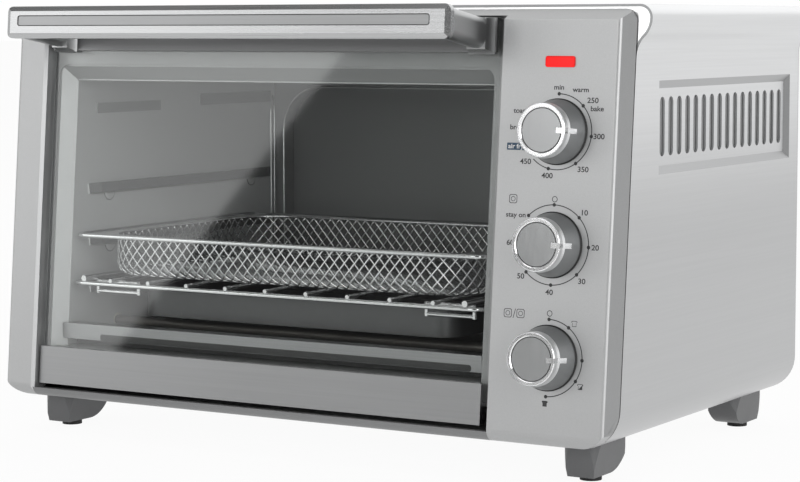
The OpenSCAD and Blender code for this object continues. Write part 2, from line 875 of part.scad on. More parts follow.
// Plan of the bezel: the sides narrow to the front, with rounded front edges
module bezel_plan() {
    half = case_w / 2;
    side = sqrt(bezel_in * bezel_in + bezel_t * bezel_t);
    nx = bezel_t / side;
    ny = -bezel_in / side;
    cx = half - bezel_in - bezel_edge_r * nx / (1 - ny);
    cy = bezel_edge_r - bezel_t;
    tx = cx + bezel_edge_r * nx;
    ty = cy + bezel_edge_r * ny;
    polygon([[-half, 0], [half, 0], [tx, ty], [cx, -bezel_t], [-cx, -bezel_t], [-tx, ty]]);
    for (s = [-1, 1]) translate([s * cx, cy]) circle(bezel_edge_r);
}

module bezel_solid() {
    intersection() {
        along_y(-bezel_t, 0) bezel_outline(0);
        along_z(0, far) bezel_plan();
        along_x(-far, far) {
            polygon([[0, 0], [bezel_low_r - bezel_t, 0], [bezel_low_r - bezel_t, bezel_low_r],
                [-bezel_t, bezel_low_r], [-bezel_t, bezel_z1], [0, bezel_z]]);
            translate([bezel_low_r - bezel_t, bezel_low_r]) circle(bezel_low_r);
        }
    }
}

module bezel_tongue() along_y(0, seam_gap) bezel_outline(tongue_in);

module bezel_left() color("silver") tilted() difference() {
    intersection() {
        union() {
            bezel_solid();
            bezel_tongue();
        }
        block(-far, open_x0, -far, far, 0, far);
    }
    along_z(0, far) polygon([[open_x0 - jamb_chamfer, -bezel_t], [open_x0, -bezel_t],
        [open_x0, jamb_chamfer - bezel_t]]);
}

module bezel_rails() color("silver") tilted() for (z = [[0, open_low], [open_top, far]])
    intersection() {
        bezel_solid();
        block(open_x0, open_x1, -far, far, z[0], z[1]);
    }

module control_panel() color("silver") tilted() difference() {
    intersection() {
        union() {
            bezel_solid();
            bezel_tongue();
        }
        block(open_x1, far, -far, far, 0, far);
    }
    block(open_x1 + panel_border, case_w / 2 - bezel_in - panel_edge,
        panel_wall - bezel_t, far, bezel_low_r + panel_border, bezel_z1 - panel_border);
    for (i = [0:2])
        along_y(-far, 0) translate([knob_x, knob_z + i * knob_pitch]) circle(d = shaft_hole);
    along_y(-far, 0) translate([knob_x, lamp_z]) lamp_outline(0);
}

// ---------------------------------------------------------------- front frame of the cavity

// The funnel from the glass to the cavity, moved out by t
module mouth(t) {
    intersection() {
        along_z(-far, far) polygon([[mouth_x0 - t, frame_y], [cavity_x0 - t, mouth_y],
            [cavity_x1 + t, mouth_y], [mouth_x1 + t, frame_y]]);
        along_x(-far, far) polygon([[frame_y, 0], [frame_y, mouth_top + t],
            [mouth_y, lip_z + t], [mouth_y, 0]]);
    }
}

module mouth_side(x0, x1) {
    intersection() {
        lean_back() difference() {
            mouth(sheet);
            mouth(0);
            block(-far, far, 0, frame_y1, -far, far);
            along_x(-far, far) polygon([[frame_y, mouth_top], [frame_y, far], [mouth_y, far],
                [mouth_y, lip_z]]);
        }
        block(x0, x1, 0, far, floor_z, far);
    }
}

module frame_sides() color("gray") upright() {
    intersection() {
        along_y(0, case_d) case_outline(sheet + flange_clear);
        lean_back() block(-flange_left, open_x0, frame_y, frame_y1, flange_foot, flange_top);
    }
    lean_back() block(open_x0, mouth_x0, frame_y, frame_y1, flange_low, flange_top);
    lean_back() block(mouth_x1, flange_right, frame_y, frame_y1, flange_low, flange_top);
    mouth_side(-far, cavity_x);
    mouth_side(cavity_x, far);
}

module frame_top() color("gray") tilted() {
    along_y(frame_y, frame_y1) difference() {
        translate([mouth_x0, mouth_top - mouth_r])
            square([mouth_x1 - mouth_x0, flange_top - mouth_top + mouth_r]);
        rounded(mouth_x0, mouth_x1, 0, mouth_top, mouth_r);
    }
    difference() {
        along_x(mouth_x0 - sheet, mouth_x1 + sheet)
            polygon([[frame_y, mouth_top + 2 * sheet], [frame_y, mouth_top], [mouth_y, lip_z],
                [mouth_y, up(roof_z + sheet, -mouth_y)], [mouth_y - sheet,
                up(roof_z + sheet, -mouth_y)], [mouth_y - sheet, lip_z + 2 * sheet]]);
        block(-far, far, 0, frame_y1, 0, far);
    }
}

module frame_bottom() color("gray") tilted()
    block(mouth_x0, mouth_x1, frame_y, frame_y1, flange_low, up(floor_z, -frame_y));

// ---------------------------------------------------------------- cavity

module rod_places() for (y = [rod_y0, rod_y1], z = [rod_low, rod_top]) translate([y, z]) children();

module fan_grille() translate([fan_y, fan_z]) {
    circle(d = grille_hole);
    for (ring = [1:grille_rings], i = [0:6 * ring - 1])
        rotate(60 * i / ring) translate([ring * grille_pitch, 0]) circle(d = grille_hole);
}

module cavity_side_walls() color("gray") upright() difference() {
    for (x = [cavity_x0 - sheet, cavity_x1]) intersection() {
        block(x, x + sheet, 0, cavity_back, floor_z - sheet, roof_z + sheet);
        behind(mouth_y);
    }
    along_x(-far, far) rod_places() circle(d = neck_d);
    along_x(cavity_x, far) fan_grille();
}

module cavity_ceiling() color("gray") upright() intersection() {
    block(cavity_x0, cavity_x1, 0, cavity_back, roof_z, roof_z + sheet);
    behind(mouth_y);
}

module cavity_floor() color("gray") upright() intersection() {
    union() {
        intersection() {
            block(cavity_x0, cavity_x1, 0, cavity_back, floor_z - sheet, floor_z);
            behind(frame_y1);
        }
        difference() {
            block(mouth_x0, mouth_x1, 0, far, floor_z - sheet, floor_z);
            behind(mouth_y);
        }
    }
    behind(frame_y1);
}

module recess(t) rounded(recess_x0 - t, recess_x1 + t, recess_z0 - t, recess_z1 + t, recess_r + t);

module cavity_back_wall() color("gray") upright() difference() {
    union() {
        block(cavity_x0 - sheet, cavity_x1 + sheet, cavity_back, cavity_back + sheet,
            floor_z - sheet, roof_z + sheet);
        along_y(cavity_back, cavity_back + recess_d) recess(sheet);
    }
    along_y(0, cavity_back + recess_d - sheet) recess(0);
}

module cavity_spacers() color("dimgray") upright()
    for (x = [cavity_x0 + spacer_in, cavity_x1 - spacer_d],
        z = [recess_z0 - spacer_in, recess_z1 + spacer_in])
        along_y(cavity_back + sheet, case_d + bulge_d - sheet) translate([x, z])
            circle(d = spacer_d);

// Rails that carry rack, pan and basket, three on each wall, with pointed ends
module rack_supports() color("gray") upright()
    for (s = [-1, 1], top = [upper_rail, basket_z - wire_d / 2 - tray_gap,
        rack_z - wire_d / 2 - tray_gap])
        along_z(top - rail_h, top) polygon([for (p = [[0, 0], [rail_out, rail_tip]])
            [cavity_x + s * (cavity_half - p[0]), rail_y0 + p[1]],
            for (p = [[rail_out, rail_tip], [0, 0]])
            [cavity_x + s * (cavity_half - p[0]), rail_y1 - p[1]]]);

module heating_elements() color("dimgray") upright()
    along_x(cavity_x0 - rod_out, cavity_x1 + rod_out) rod_places() circle(d = rod_d);

module element_insulators() color("ivory") upright() difference() {
    for (s = [0, 1]) {
        x = s == 0 ? cavity_x0 - sheet - collar_len : cavity_x1 + sheet;
        along_x(x, x + collar_len) rod_places() circle(d = collar_d);
        along_x(s == 0 ? cavity_x0 - 2 * sheet : cavity_x1, s == 0 ? cavity_x0 :
            cavity_x1 + 2 * sheet) rod_places() circle(d = neck_d);
    }
    along_x(-far, far) rod_places() circle(d = rod_d);
}

// ---------------------------------------------------------------- convection fan

module at_fan() upright() translate([fan_x, fan_y, fan_z]) rotate([90, 0, 90]) children();

module fan_housing() color("gray") at_fan() {
    linear_extrude(housing_d) difference() {
        circle(fan_r + housing_gap + housing_t);
        circle(fan_r + housing_gap);
    }
    translate([0, 0, housing_d]) linear_extrude(housing_t) difference() {
        circle(fan_r + housing_gap + housing_t);
        circle(d = hub_d);
    }
}

module fan_motor() color("dimgray") at_fan() difference() {
    translate([0, 0, housing_d + housing_t]) cylinder(d = motor_d, h = motor_len);
    cylinder(d = fan_shaft_d + 2 * running, h = housing_d + housing_t + motor_len / 2);
}

module fan_impeller() color("silver") at_fan() translate([0, 0, housing_gap]) {
    linear_extrude(blade_w) difference() {
        union() {
            circle(d = hub_d);
            for (i = [0:blades - 1]) rotate(i * 360 / blades)
                translate([0, -blade_t / 2]) square([fan_r, blade_t]);
        }
        circle(d = fan_shaft_d);
    }
}

module fan_shaft() color("silver") at_fan() translate([0, 0, housing_gap])
    cylinder(d = fan_shaft_d, h = housing_d + housing_t + motor_len / 2 - 2 * housing_gap);

// ---------------------------------------------------------------- controls

module lamp_outline(t)
    rounded(-lamp_w / 2 - t, lamp_w / 2 + t, -lamp_h / 2 - t, lamp_h / 2 + t, lamp_r + t);

module lamp_lens() color("red") tilted() translate([knob_x, 0, lamp_z]) {
    along_y(-bezel_t - lamp_out, panel_wall - bezel_t) lamp_outline(0);
    along_y(panel_wall - bezel_t, panel_wall - bezel_t + sheet) lamp_outline(sheet);
}

module lamp_holder() color("white") tilted() translate([knob_x, 0, lamp_z])
    along_y(panel_wall - bezel_t + sheet, frame_y) lamp_outline(sheet);

module control_bracket() color("gray") tilted()
    along_y(frame_y, frame_y + bracket_t) difference() {
        rounded(bracket_x, flange_left, bracket_z0, hem_top, bezel_top_r);
        for (i = [0:2]) translate([knob_x, knob_z + i * knob_pitch]) circle(d = bush_d);
    }

// One switch, thermostat or timer body with its bush, i steps up the panel
module control(i) tilted() translate([knob_x, frame_y, knob_z + i * knob_pitch])
    rotate([90, 0, 0]) difference() {
        union() {
            translate([-control_w / 2, -control_w / 2, -bracket_t - control_d])
                cube([control_w, control_w, control_d]);
            translate([0, 0, -bracket_t]) cylinder(d = bush_d, h = bracket_t + bush_len);
        }
        translate([0, 0, -bracket_t - control_d / 2])
            cylinder(d = shaft_d + 2 * running, h = far);
    }

module control_bodies() color("gray") for (i = [0:2]) control(i);

module timer_bell() color("gold") tilted() {
    y = frame_y + bracket_t + control_d;
    translate([knob_x, 0, knob_z + knob_pitch]) difference() {
        along_y(y, y + bell_h) circle(d = bell_d);
        along_y(y + sheet, y + far) circle(d = bell_d - 2 * sheet);
    }
}

module at_knob(i) tilted() translate([knob_x, -bezel_t, knob_z + i * knob_pitch])
    rotate([90, 0, 0]) children();

// Space of the pointer that runs over a knob's front edge
module pointer_slot() translate([pointer_in, -pointer_w / 2, knob_h - ring_h - pointer_drop])
    cube([knob_r, pointer_w, knob_h]);

// Knob profile from the panel out, with the side pushed out by t
module knob_side(t, top) polygon([[0, knob_gap], [knob_r + t, knob_gap],
    [knob_r + t, knob_gap + knob_base], [ring_r + t, knob_h - ring_h], [ring_r + t, top],
    [0, top]]);

module knob(i) at_knob(i) difference() {
    rotate_extrude() difference() {
        knob_side(0, knob_h - knob_dish);
        translate([ring_in, knob_h - ring_h]) square([knob_r, knob_h]);
    }
    pointer_slot();
    cylinder(d = shaft_d, h = shaft_in);
}

// Bright ring round a knob's front edge, in one piece with the pointer that crosses it
module ring(i) at_knob(i) {
    rotate_extrude() polygon([[ring_in, knob_h - ring_h], [ring_r, knob_h - ring_h],
        [ring_r, knob_h - ring_edge], [ring_r - ring_edge, knob_h],
        [ring_in + ring_edge, knob_h], [ring_in, knob_h - ring_edge]]);
    intersection() {
        rotate_extrude() knob_side(pointer_out, knob_h + pointer_out);
        pointer_slot();
    }
}

module knob_shaft(i) color("silver") at_knob(i)
    translate([0, 0, -shaft_back]) cylinder(d = shaft_d, h = shaft_back + shaft_in);

module knob_temperature() color("gray") knob(2);

module knob_timer() color("gray") knob(1);

module knob_toast() color("gray") knob(0);

module ring_temperature() color("white") ring(2);

module ring_timer() color("white") ring(1);

module ring_toast() color("white") ring(0);

module knob_shaft_upper() knob_shaft(2);

module knob_shaft_middle() knob_shaft(1);

module knob_shaft_lower() knob_shaft(0);

// ---------------------------------------------------------------- door

// Left faces of the two hinge lugs
function lug_xs() = [door_x0 + lug_in, door_x1 - lug_in - lug_t];

module hinge_lugs() color("dimgray") tilted() for (x = lug_xs())
    along_x(x, x + lug_t) difference() {
        union() {
            translate([hinge_y, hinge_z]) circle(lug_r);
            translate([hinge_y, hinge_z - lug_r]) square([lug_back - hinge_y, 2 * lug_r]);
            translate([frame_y1, hinge_z]) square([lug_back - frame_y1, lug_top - hinge_z]);
        }
        translate([hinge_y, hinge_z]) circle(d = pin_d + 2 * running);
    }

module hinge_pins() color("silver") tilted() for (x = [door_x0, door_x1 - pin_len])
    along_x(x, x + pin_len) translate([hinge_y, hinge_z]) circle(d = pin_d);

// Folded lower frame: skirt, shelf under the glass, floor and ends, open to the back
module door_rail() color("silver") tilted() difference() {
    union() {
        block(door_x0, door_x1, -door_front, door_sheet - door_front, door_low, glass_low);
        block(door_x0, door_x1, -door_front, glass_y, glass_low - sheet, rail_top);
        block(door_x0, door_x1, -door_front, door_back, glass_low - sheet, glass_low);
        block(door_x0, door_x1, -door_front, door_back, door_low, door_low + sheet);
        for (x = [door_x0, door_x1 - sheet])
            block(x, x + sheet, -door_front, door_back, door_low, glass_low);
    }
    for (x = lug_xs()) block(x - lug_gap, x + lug_t + lug_gap, door_sheet - door_front, far,
        0, door_low + 2 * sheet);
    along_x(-far, far) translate([hinge_y, hinge_z]) circle(d = pin_d);
}

module screw_places() for (s = [-1, 1], z = [-1, 1])
    translate([handle_x + s * (handle_w / 2 - return_in - return_w / 2),
        handle_z + handle_h / 2 + z * screw_rise - flare]) children();

module door_band() color("silver") tilted() difference() {
    union() {
        block(door_x0, door_x1, -door_front, glass_y, band_low, door_top);
        block(door_x0, door_x1, -door_front, door_back, door_top - band_wall, door_top);
    }
    along_y(-far, 0) screw_places() circle(d = screw_d);
}

module door_glass() color("lightblue", 0.4) tilted()
    block(door_x0, door_x1, glass_y, door_back, glass_low, door_top - band_wall);

// Border of the handle that slopes back on all four sides
module handle_block() {
    x0 = handle_x - handle_w / 2;
    x1 = handle_x + handle_w / 2;
    z0 = handle_z;
    z1 = handle_z + handle_h;
    y0 = -handle_front;
    y1 = handle_t - handle_front;
    b = handle_border;
    c = y0 + handle_slope;
    intersection() {
        along_y(y0, y1) rounded(x0, x1, z0, z1, handle_r);
        along_z(z0, z1) polygon([[x0, y1], [x0, c], [x0 + b, y0], [x1 - b, y0], [x1, c], [x1, y1]]);
        along_x(x0, x1) polygon([[y1, z0], [c, z0], [y0, z0 + b], [y0, z1 - b], [c, z1], [y1, z1]]);
    }
}

module strip_outline(t) translate([strip_x, handle_z + handle_h / 2 + strip_up])
    rounded(-strip_w / 2 - t, strip_w / 2 + t, -strip_h / 2 - t, strip_h / 2 + t, strip_r + t);

module handle_plate() color("silver") tilted() difference() {
    handle_block();
    along_y(-far, strip_t - handle_front) strip_outline(strip_gap);
}

module handle_strip() color("gray") tilted()
    along_y(strip_sink - handle_front, strip_t - handle_front) strip_outline(0);

// Widens towards y = 0 from half width h, with hollow sides
module flare_profile(h) {
    r = (flare * flare + flare_len * flare_len) / (2 * flare);
    difference() {
        translate([-h - flare, -flare_len]) square([2 * (h + flare), flare_len]);
        for (s = [-1, 1]) translate([s * (h + r), -flare_len]) circle(r);
    }
}

// Solid end return from the plate to the door, falling slightly and flared at the door
module handle_return(s) {
    y0 = handle_t - handle_front;
    mid = handle_x + s * (handle_w / 2 - return_in - return_w / 2);
    top = handle_z + (handle_h + return_h) / 2;
    fall = -(y0 + door_front) * tan(return_fall);
    difference() {
        union() {
            translate([mid, y0, top]) rotate([-return_fall, 0, 0])
                along_y(-handle_t, 2 * handle_front)
                    rounded(-return_w / 2, return_w / 2, -return_h, 0, return_r);
            intersection() {
                along_z(0, far) translate([mid, -door_front]) flare_profile(return_w / 2);
                along_x(-far, far) translate([-door_front, top - fall - return_h / 2])
                    rotate(-90) flare_profile(return_h / 2);
            }
        }
        block(-far, far, -far, y0, 0, far);
        block(-far, far, -door_front, far, 0, far);
        block(-far, far, -bezel_t - door_gap, far, door_top, far);
        along_y(glass_y - screw_len, 0) screw_places() circle(d = screw_d);
    }
}

module handle_returns() color("silver") tilted() for (s = [-1, 1]) handle_return(s);

module handle_screws() color("dimgray") tilted()
    along_y(glass_y - screw_len, glass_y) screw_places() circle(d = screw_d);

// ---------------------------------------------------------------- wire rack and baking pan

// Closed wire frame in a level plane
module wire_loop(half, y0, y1, r, d) {
    for (y = [y0, y1]) along_x(r - half, half - r) translate([y, 0]) circle(d = d);
    for (x = [-half, half]) along_y(y0 + r, y1 - r) translate([x, 0]) circle(d = d);
    for (i = [0:3]) {
        x = (i == 0 || i == 3 ? 1 : -1) * (half - r);
        y = i < 2 ? y1 - r : y0 + r;
        translate([x, y, 0]) rotate(90 * i) rotate_extrude(angle = 90)
            translate([r, 0]) circle(d = d);
    }
}

module rack_frame() color("silver") upright() translate([cavity_x, 0, rack_z]) {
    wire_loop(rack_half, rack_y0, rack_y1, rack_bend, wire_d);
    along_x(-rack_half, rack_half) translate([(rack_y0 + rack_y1) / 2, 0]) circle(d = wire_d);
}

module rack_bar(x, d) along_y(rack_y0 - wire_d / 2, rack_y1 + wire_d / 2)
    translate([x, (wire_d + d) / 2 - weld]) circle(d = d);

module rack_bars() color("silver") upright() translate([cavity_x, 0, rack_z]) {
    for (i = [-bars_side:bars_side]) rack_bar(i * bar_pitch, bar_d);
    for (s = [-1, 1]) rack_bar(s * side_bar, side_bar_d);
}

// Wire hangers under the bars: a closed hook at each end of a rail that carries the pan's rim
module pan_hooks() color("silver") upright() translate([cavity_x, 0, 0]) {
    z0 = pan_z1 - pan_t - hook_d / 2;
    z1 = rack_z + (wire_d - hook_d) / 2;
    x0 = hook_out - hook_w;
    y0 = pan_y0 - hook_gap;
    y1 = pan_y1 + hook_gap;
    for (s = [-1, 1]) {
        along_y(y0, y1) translate([s * (pan_half - pan_rim / 2), z0]) circle(d = hook_d);
        for (y = [y0, y1]) {
            along_x(min(s * x0, s * hook_out), max(s * x0, s * hook_out)) for (z = [z0, z1])
                translate([y, z]) circle(d = hook_d);
            for (x = [x0, hook_out]) translate([s * x, y, z0 - hook_d / 2])
                cylinder(d = hook_d, h = z1 - z0 + hook_d);
        }
    }
}

module pan_outline(t) translate([cavity_x, 0])
    rounded(t - pan_half, pan_half - t, pan_y0 + t, pan_y1 - t, pan_r - t);

module baking_pan() color("dimgray") upright() difference() {
    union() {
        along_z(pan_z0, pan_z1) pan_outline(pan_rim);
        along_z(pan_z1 - pan_t, pan_z1) pan_outline(0);
    }
    along_z(pan_z0 + pan_t, far) pan_outline(pan_rim + pan_t);
}

// ---------------------------------------------------------------- air-fry basket

module basket_outline(t) translate([cavity_x, 0])
    rounded(t - mesh_half, mesh_half - t, basket_y0 + mesh_in + t, basket_y1 - mesh_in - t,
        mesh_r - t);

module basket_rim() color("silver") upright() {
    translate([cavity_x, 0, basket_z])
        wire_loop(rack_half, basket_y0, basket_y1, rack_bend, wire_d);
    along_z(basket_z - tray_t / 2, basket_z + tray_t / 2) difference() {
        translate([cavity_x, 0]) rounded(-rack_half, rack_half, basket_y0, basket_y1, rack_bend);
        basket_outline(mesh_t);
    }
}

module diamond(w, h) polygon([[-w / 2, 0], [0, -h / 2], [w / 2, 0], [0, h / 2]]);

// Staggered diamond holes in a strip of length len and height tall, its lower edge at zero
module diamond_strip(len, tall) {
    nx = floor(len / cell_w);
    nz = floor((tall - 2 * mesh_edge) / (cell_h / 2)) - 1;
    z0 = (tall - (nz - 1) * cell_h / 2) / 2;
    for (j = [0:nz - 1], i = [0:nx - 1 - j % 2])
        translate([(i + (j % 2) / 2 - (nx - 1) / 2) * cell_w, z0 + j * cell_h / 2])
            diamond(cell_w - strand, cell_h - strand);
}

// A straight mesh wall of length len, drawn in x and z about the origin
module mesh_wall(len) along_y(0, mesh_t) difference() {
    translate([-len / 2, 0]) square([len, mesh_tall]);
    diamond_strip(len, mesh_tall);
}

module basket_end_walls() color("silver") upright()
    for (y = [basket_y0 + mesh_in, basket_y1 - mesh_in - mesh_t])
        translate([cavity_x, y, mesh_z + mesh_t]) mesh_wall(2 * (mesh_half - mesh_r));

module basket_side_walls() color("silver") upright() for (x = [-mesh_half, mesh_half - mesh_t])
    translate([cavity_x + x, (basket_y0 + basket_y1) / 2, mesh_z + mesh_t]) rotate([0, 0, 90])
        translate([0, -mesh_t, 0]) mesh_wall(basket_y1 - basket_y0 - 2 * (mesh_in + mesh_r));

// Rounded corners of the mesh, cut through by radial diamonds
module mesh_corner() {
    nz = floor((mesh_tall - 2 * mesh_edge) / (cell_h / 2)) - 1;
    z0 = (mesh_tall - (nz - 1) * cell_h / 2) / 2;
    difference() {
        linear_extrude(mesh_tall) intersection() {
            difference() {
                circle(mesh_r);
                circle(mesh_r - mesh_t);
            }
            square(mesh_r + mesh_t);
        }
        for (j = [0:nz - 1], i = [0:corner_cells - 1 - j % 2])
            rotate((i + (j % 2) / 2 + 1 / 2) * 90 / corner_cells)
                translate([mesh_r - 2 * mesh_t, 0, z0 + j * cell_h / 2])
                    rotate([90, 0, 90]) linear_extrude(3 * mesh_t)
                        diamond(cell_w - strand, cell_h - strand);
    }
}

module basket_corners() color("silver") upright() translate([cavity_x, 0, mesh_z + mesh_t])
    for (i = [0:3]) {
        x = (i == 0 || i == 3 ? 1 : -1) * (mesh_half - mesh_r);
        y = i < 2 ? basket_y1 - mesh_in - mesh_r : basket_y0 + mesh_in + mesh_r;
        translate([x, y, 0]) rotate(90 * i) mesh_corner();
    }

// Room between a point and the rounded outline of the basket floor
function floor_room(x, y) = let (
    w = mesh_half - abs(x), h = (basket_y1 - basket_y0) / 2 - mesh_in - abs(y))
    w < mesh_r && h < mesh_r ? mesh_r - norm([mesh_r - w, mesh_r - h]) : min(w, h);

module basket_floor() color("silver") upright() along_z(mesh_z, mesh_z + mesh_t) difference() {
    basket_outline(0);
    translate([cavity_x, (basket_y0 + basket_y1) / 2])
        for (j = [-floor_rows:floor_rows], i = [-floor_rows:floor_rows]) {
            x = (i + abs(j % 2) / 2) * floor_cell;
            y = j * floor_cell / 2;
            if (floor_room(x, y) > floor_cell / 2)
                translate([x, y]) diamond(floor_cell - strand, floor_cell - strand);
        }
}

// ---------------------------------------------------------------- crumb tray

module crumb_tray() color("silver") upright() translate([cavity_x, 0, 0]) {
    z = floor_z + tray_gap;
    block(-tray_half, tray_half, tray_y0, tray_y1, z, z + tray_t);
    for (x = [-tray_half, tray_half - tray_t])
        block(x, x + tray_t, tray_y0, tray_y1, z, z + tray_wall);
    block(-tray_half, tray_half, tray_y1 - tray_t, tray_y1, z, z + tray_wall);
    block(-tray_half, tray_half, tray_y0, tray_y0 + tray_t, z, grip_z1);
    block(-tray_half, tray_half, grip_y, tray_y0 + tray_t, grip_z1 - tray_t, grip_z1);
    block(-grip_half, grip_half, grip_y, grip_y + tray_t, grip_z0, grip_z1);
}

// ---------------------------------------------------------------- feet

module foot_places() for (sx = [0, 1], sy = [0, 1])
    mirror([sx, 0, 0]) translate([foot_x, sy == 0 ? foot_y0 : foot_y1, 0])
        mirror([0, sy, 0]) children();

module feet() color("dimgray") upright() foot_places() difference() {
    intersection() {
        along_z(-foot_body, 0) rounded(-foot_w / 2, foot_w / 2, 0, foot_len, foot_r);
        along_y(0, foot_len) polygon([[-foot_w / 2, 0], [foot_w / 2, 0],
            [foot_w2 / 2, -foot_body], [-foot_w2 / 2, -foot_body]]);
        along_x(-foot_w, foot_w) {
            polygon([[0, 0], [foot_draft, -foot_body], [foot_len - foot_sweep, -foot_body],
                [foot_len - foot_sweep, 0]]);
            translate([foot_len - foot_sweep, foot_sweep - foot_body]) circle(foot_sweep);
        }
    }
    translate([0, pad_y, -far - foot_body + pad_in]) cylinder(d = pad_d, h = far);
    foot_screw(0);
}

// Screw up from the foot into the base, t wider all round
module foot_screw(t) translate([0, pad_y + foot_screw_y, -foot_screw_len])
    cylinder(d = screw_d + 2 * t, h = foot_screw_len + 2 * sheet);

module foot_pads() color("black") upright() foot_places()
    translate([0, pad_y, -foot_h]) cylinder(d = pad_d, h = foot_h - foot_body + pad_in);

module foot_screws() color("silver") upright() foot_places() {
    foot_screw(0);
    translate([0, pad_y + foot_screw_y, 2 * sheet]) cylinder(d = foot_head_d, h = foot_head_h);
}

outer_case();
side_vent_panel();
back_cover();
base_plate();
bezel_left();
bezel_rails();
control_panel();
frame_sides();
frame_top();
frame_bottom();
cavity_side_walls();
cavity_ceiling();
cavity_floor();
cavity_back_wall();
cavity_spacers();
rack_supports();
heating_elements();
element_insulators();
fan_housing();
fan_motor();
fan_impeller();
fan_shaft();
control_bracket();
control_bodies();
timer_bell();
lamp_lens();
lamp_holder();
knob_temperature();
knob_timer();
knob_toast();
ring_temperature();
ring_timer();
ring_toast();
knob_shaft_upper();
knob_shaft_middle();
knob_shaft_lower();
hinge_lugs();
hinge_pins();
door_rail();
door_band();
door_glass();
handle_plate();
handle_returns();
handle_strip();
handle_screws();
feet();
foot_pads();
foot_screws();
case_screws();
rack_frame();
rack_bars();
pan_hooks();
baking_pan();
basket_rim();
basket_end_walls();
basket_side_walls();
basket_corners();
basket_floor();
crumb_tray();
cord_inlet();
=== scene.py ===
import json
import math

import bmesh
import bpy
from mathutils import Matrix, Vector


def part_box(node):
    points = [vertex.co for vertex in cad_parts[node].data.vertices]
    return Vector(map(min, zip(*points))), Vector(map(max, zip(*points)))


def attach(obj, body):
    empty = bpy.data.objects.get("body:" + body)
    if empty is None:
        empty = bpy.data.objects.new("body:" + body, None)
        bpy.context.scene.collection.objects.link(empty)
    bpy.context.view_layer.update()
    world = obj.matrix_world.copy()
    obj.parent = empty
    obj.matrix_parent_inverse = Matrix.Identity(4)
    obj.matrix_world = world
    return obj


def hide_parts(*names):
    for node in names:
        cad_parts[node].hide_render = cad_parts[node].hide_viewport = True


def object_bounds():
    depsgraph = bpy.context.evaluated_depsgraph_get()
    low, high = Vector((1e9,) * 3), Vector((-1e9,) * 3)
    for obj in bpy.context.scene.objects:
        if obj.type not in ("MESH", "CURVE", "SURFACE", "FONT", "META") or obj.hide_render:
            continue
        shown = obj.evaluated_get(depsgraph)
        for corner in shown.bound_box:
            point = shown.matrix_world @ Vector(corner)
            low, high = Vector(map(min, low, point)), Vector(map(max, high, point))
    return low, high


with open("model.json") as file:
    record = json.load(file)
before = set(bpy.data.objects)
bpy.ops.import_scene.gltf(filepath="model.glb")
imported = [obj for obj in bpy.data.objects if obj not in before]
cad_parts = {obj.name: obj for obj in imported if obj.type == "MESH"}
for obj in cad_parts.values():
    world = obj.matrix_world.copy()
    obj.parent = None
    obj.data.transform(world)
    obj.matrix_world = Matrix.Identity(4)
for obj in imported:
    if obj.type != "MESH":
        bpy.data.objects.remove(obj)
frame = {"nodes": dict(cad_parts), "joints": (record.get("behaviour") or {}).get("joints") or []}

cad_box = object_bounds()
MM = 0.001
NODES = frame["nodes"]
JOINTS = {joint["name"]: joint for joint in frame["joints"]}


# ---------------------------------------------------------------- studio
# A pale table top that runs into a white surround, five soft boxes and the camera. The left
# box is tall and tilted, so its edge crosses the door glass on a slant. None is the oven's.

class Wire:
    """A value on its way between the nodes of one material; sums on it add Math nodes."""

    def __init__(self, tree, socket=None):
        self.tree = tree
        self.socket = socket

    def node(self, kind, settings=None, sockets=None, out=0):
        """Adds a node: its settings first, then its sockets, and gives one output."""
        made = self.tree.nodes.new(kind)
        for name, value in (settings or {}).items():
            if name == "stops":
                while len(made.color_ramp.elements) < len(value):
                    made.color_ramp.elements.new(1)
                for stop, (place, shade) in zip(made.color_ramp.elements, value):
                    stop.position = place
                    stop.color = shade
            else:
                setattr(made, name, value)
        for name, value in (sockets or {}).items():
            if isinstance(value, Wire):
                self.tree.links.new(value.socket, made.inputs[name])
            else:
                made.inputs[name].default_value = value
        return Wire(self.tree, made.outputs[out])

    def maths(self, operation, first, second=0.0):
        return self.node("ShaderNodeMath", {"operation": operation}, {0: first, 1: second})

    def __add__(self, other):
        return self.maths("ADD", self, other)

    def __sub__(self, other):
        return self.maths("SUBTRACT", self, other)

    def __rsub__(self, other):
        return self.maths("SUBTRACT", other, self)

    def __mul__(self, other):
        return self.maths("MULTIPLY", self, other)

    __radd__ = __add__
    __rmul__ = __mul__

    def __abs__(self):
        return self.maths("ABSOLUTE", self)

    def least(self, other):
        return self.maths("MINIMUM", self, other)

    def most(self, other):
        return self.maths("MAXIMUM", self, other)

    def between(self, low, high):
        """0 at low, 1 at high, and held there on both sides."""
        return self.node("ShaderNodeMapRange", {"interpolation_type": "SMOOTHSTEP"},
                         {"Value": self, "From Min": low, "From Max": high})

    def shade(self, dark, light):
        """The colour from dark to light, as this value goes from 0 to 1."""
        return self.node("ShaderNodeMix", {"data_type": "RGBA"},
                         {0: self, 6: dark, 7: light}, out=2)


def white_to_view(wire):
    """1 where the camera looks, straight or by way of metal or glass."""
    rays = [wire.node("ShaderNodeLightPath", out=name)
            for name in ("Is Camera Ray", "Is Glossy Ray", "Is Transmission Ray")]
    return (rays[0] + rays[1] + rays[2]).least(1.0)


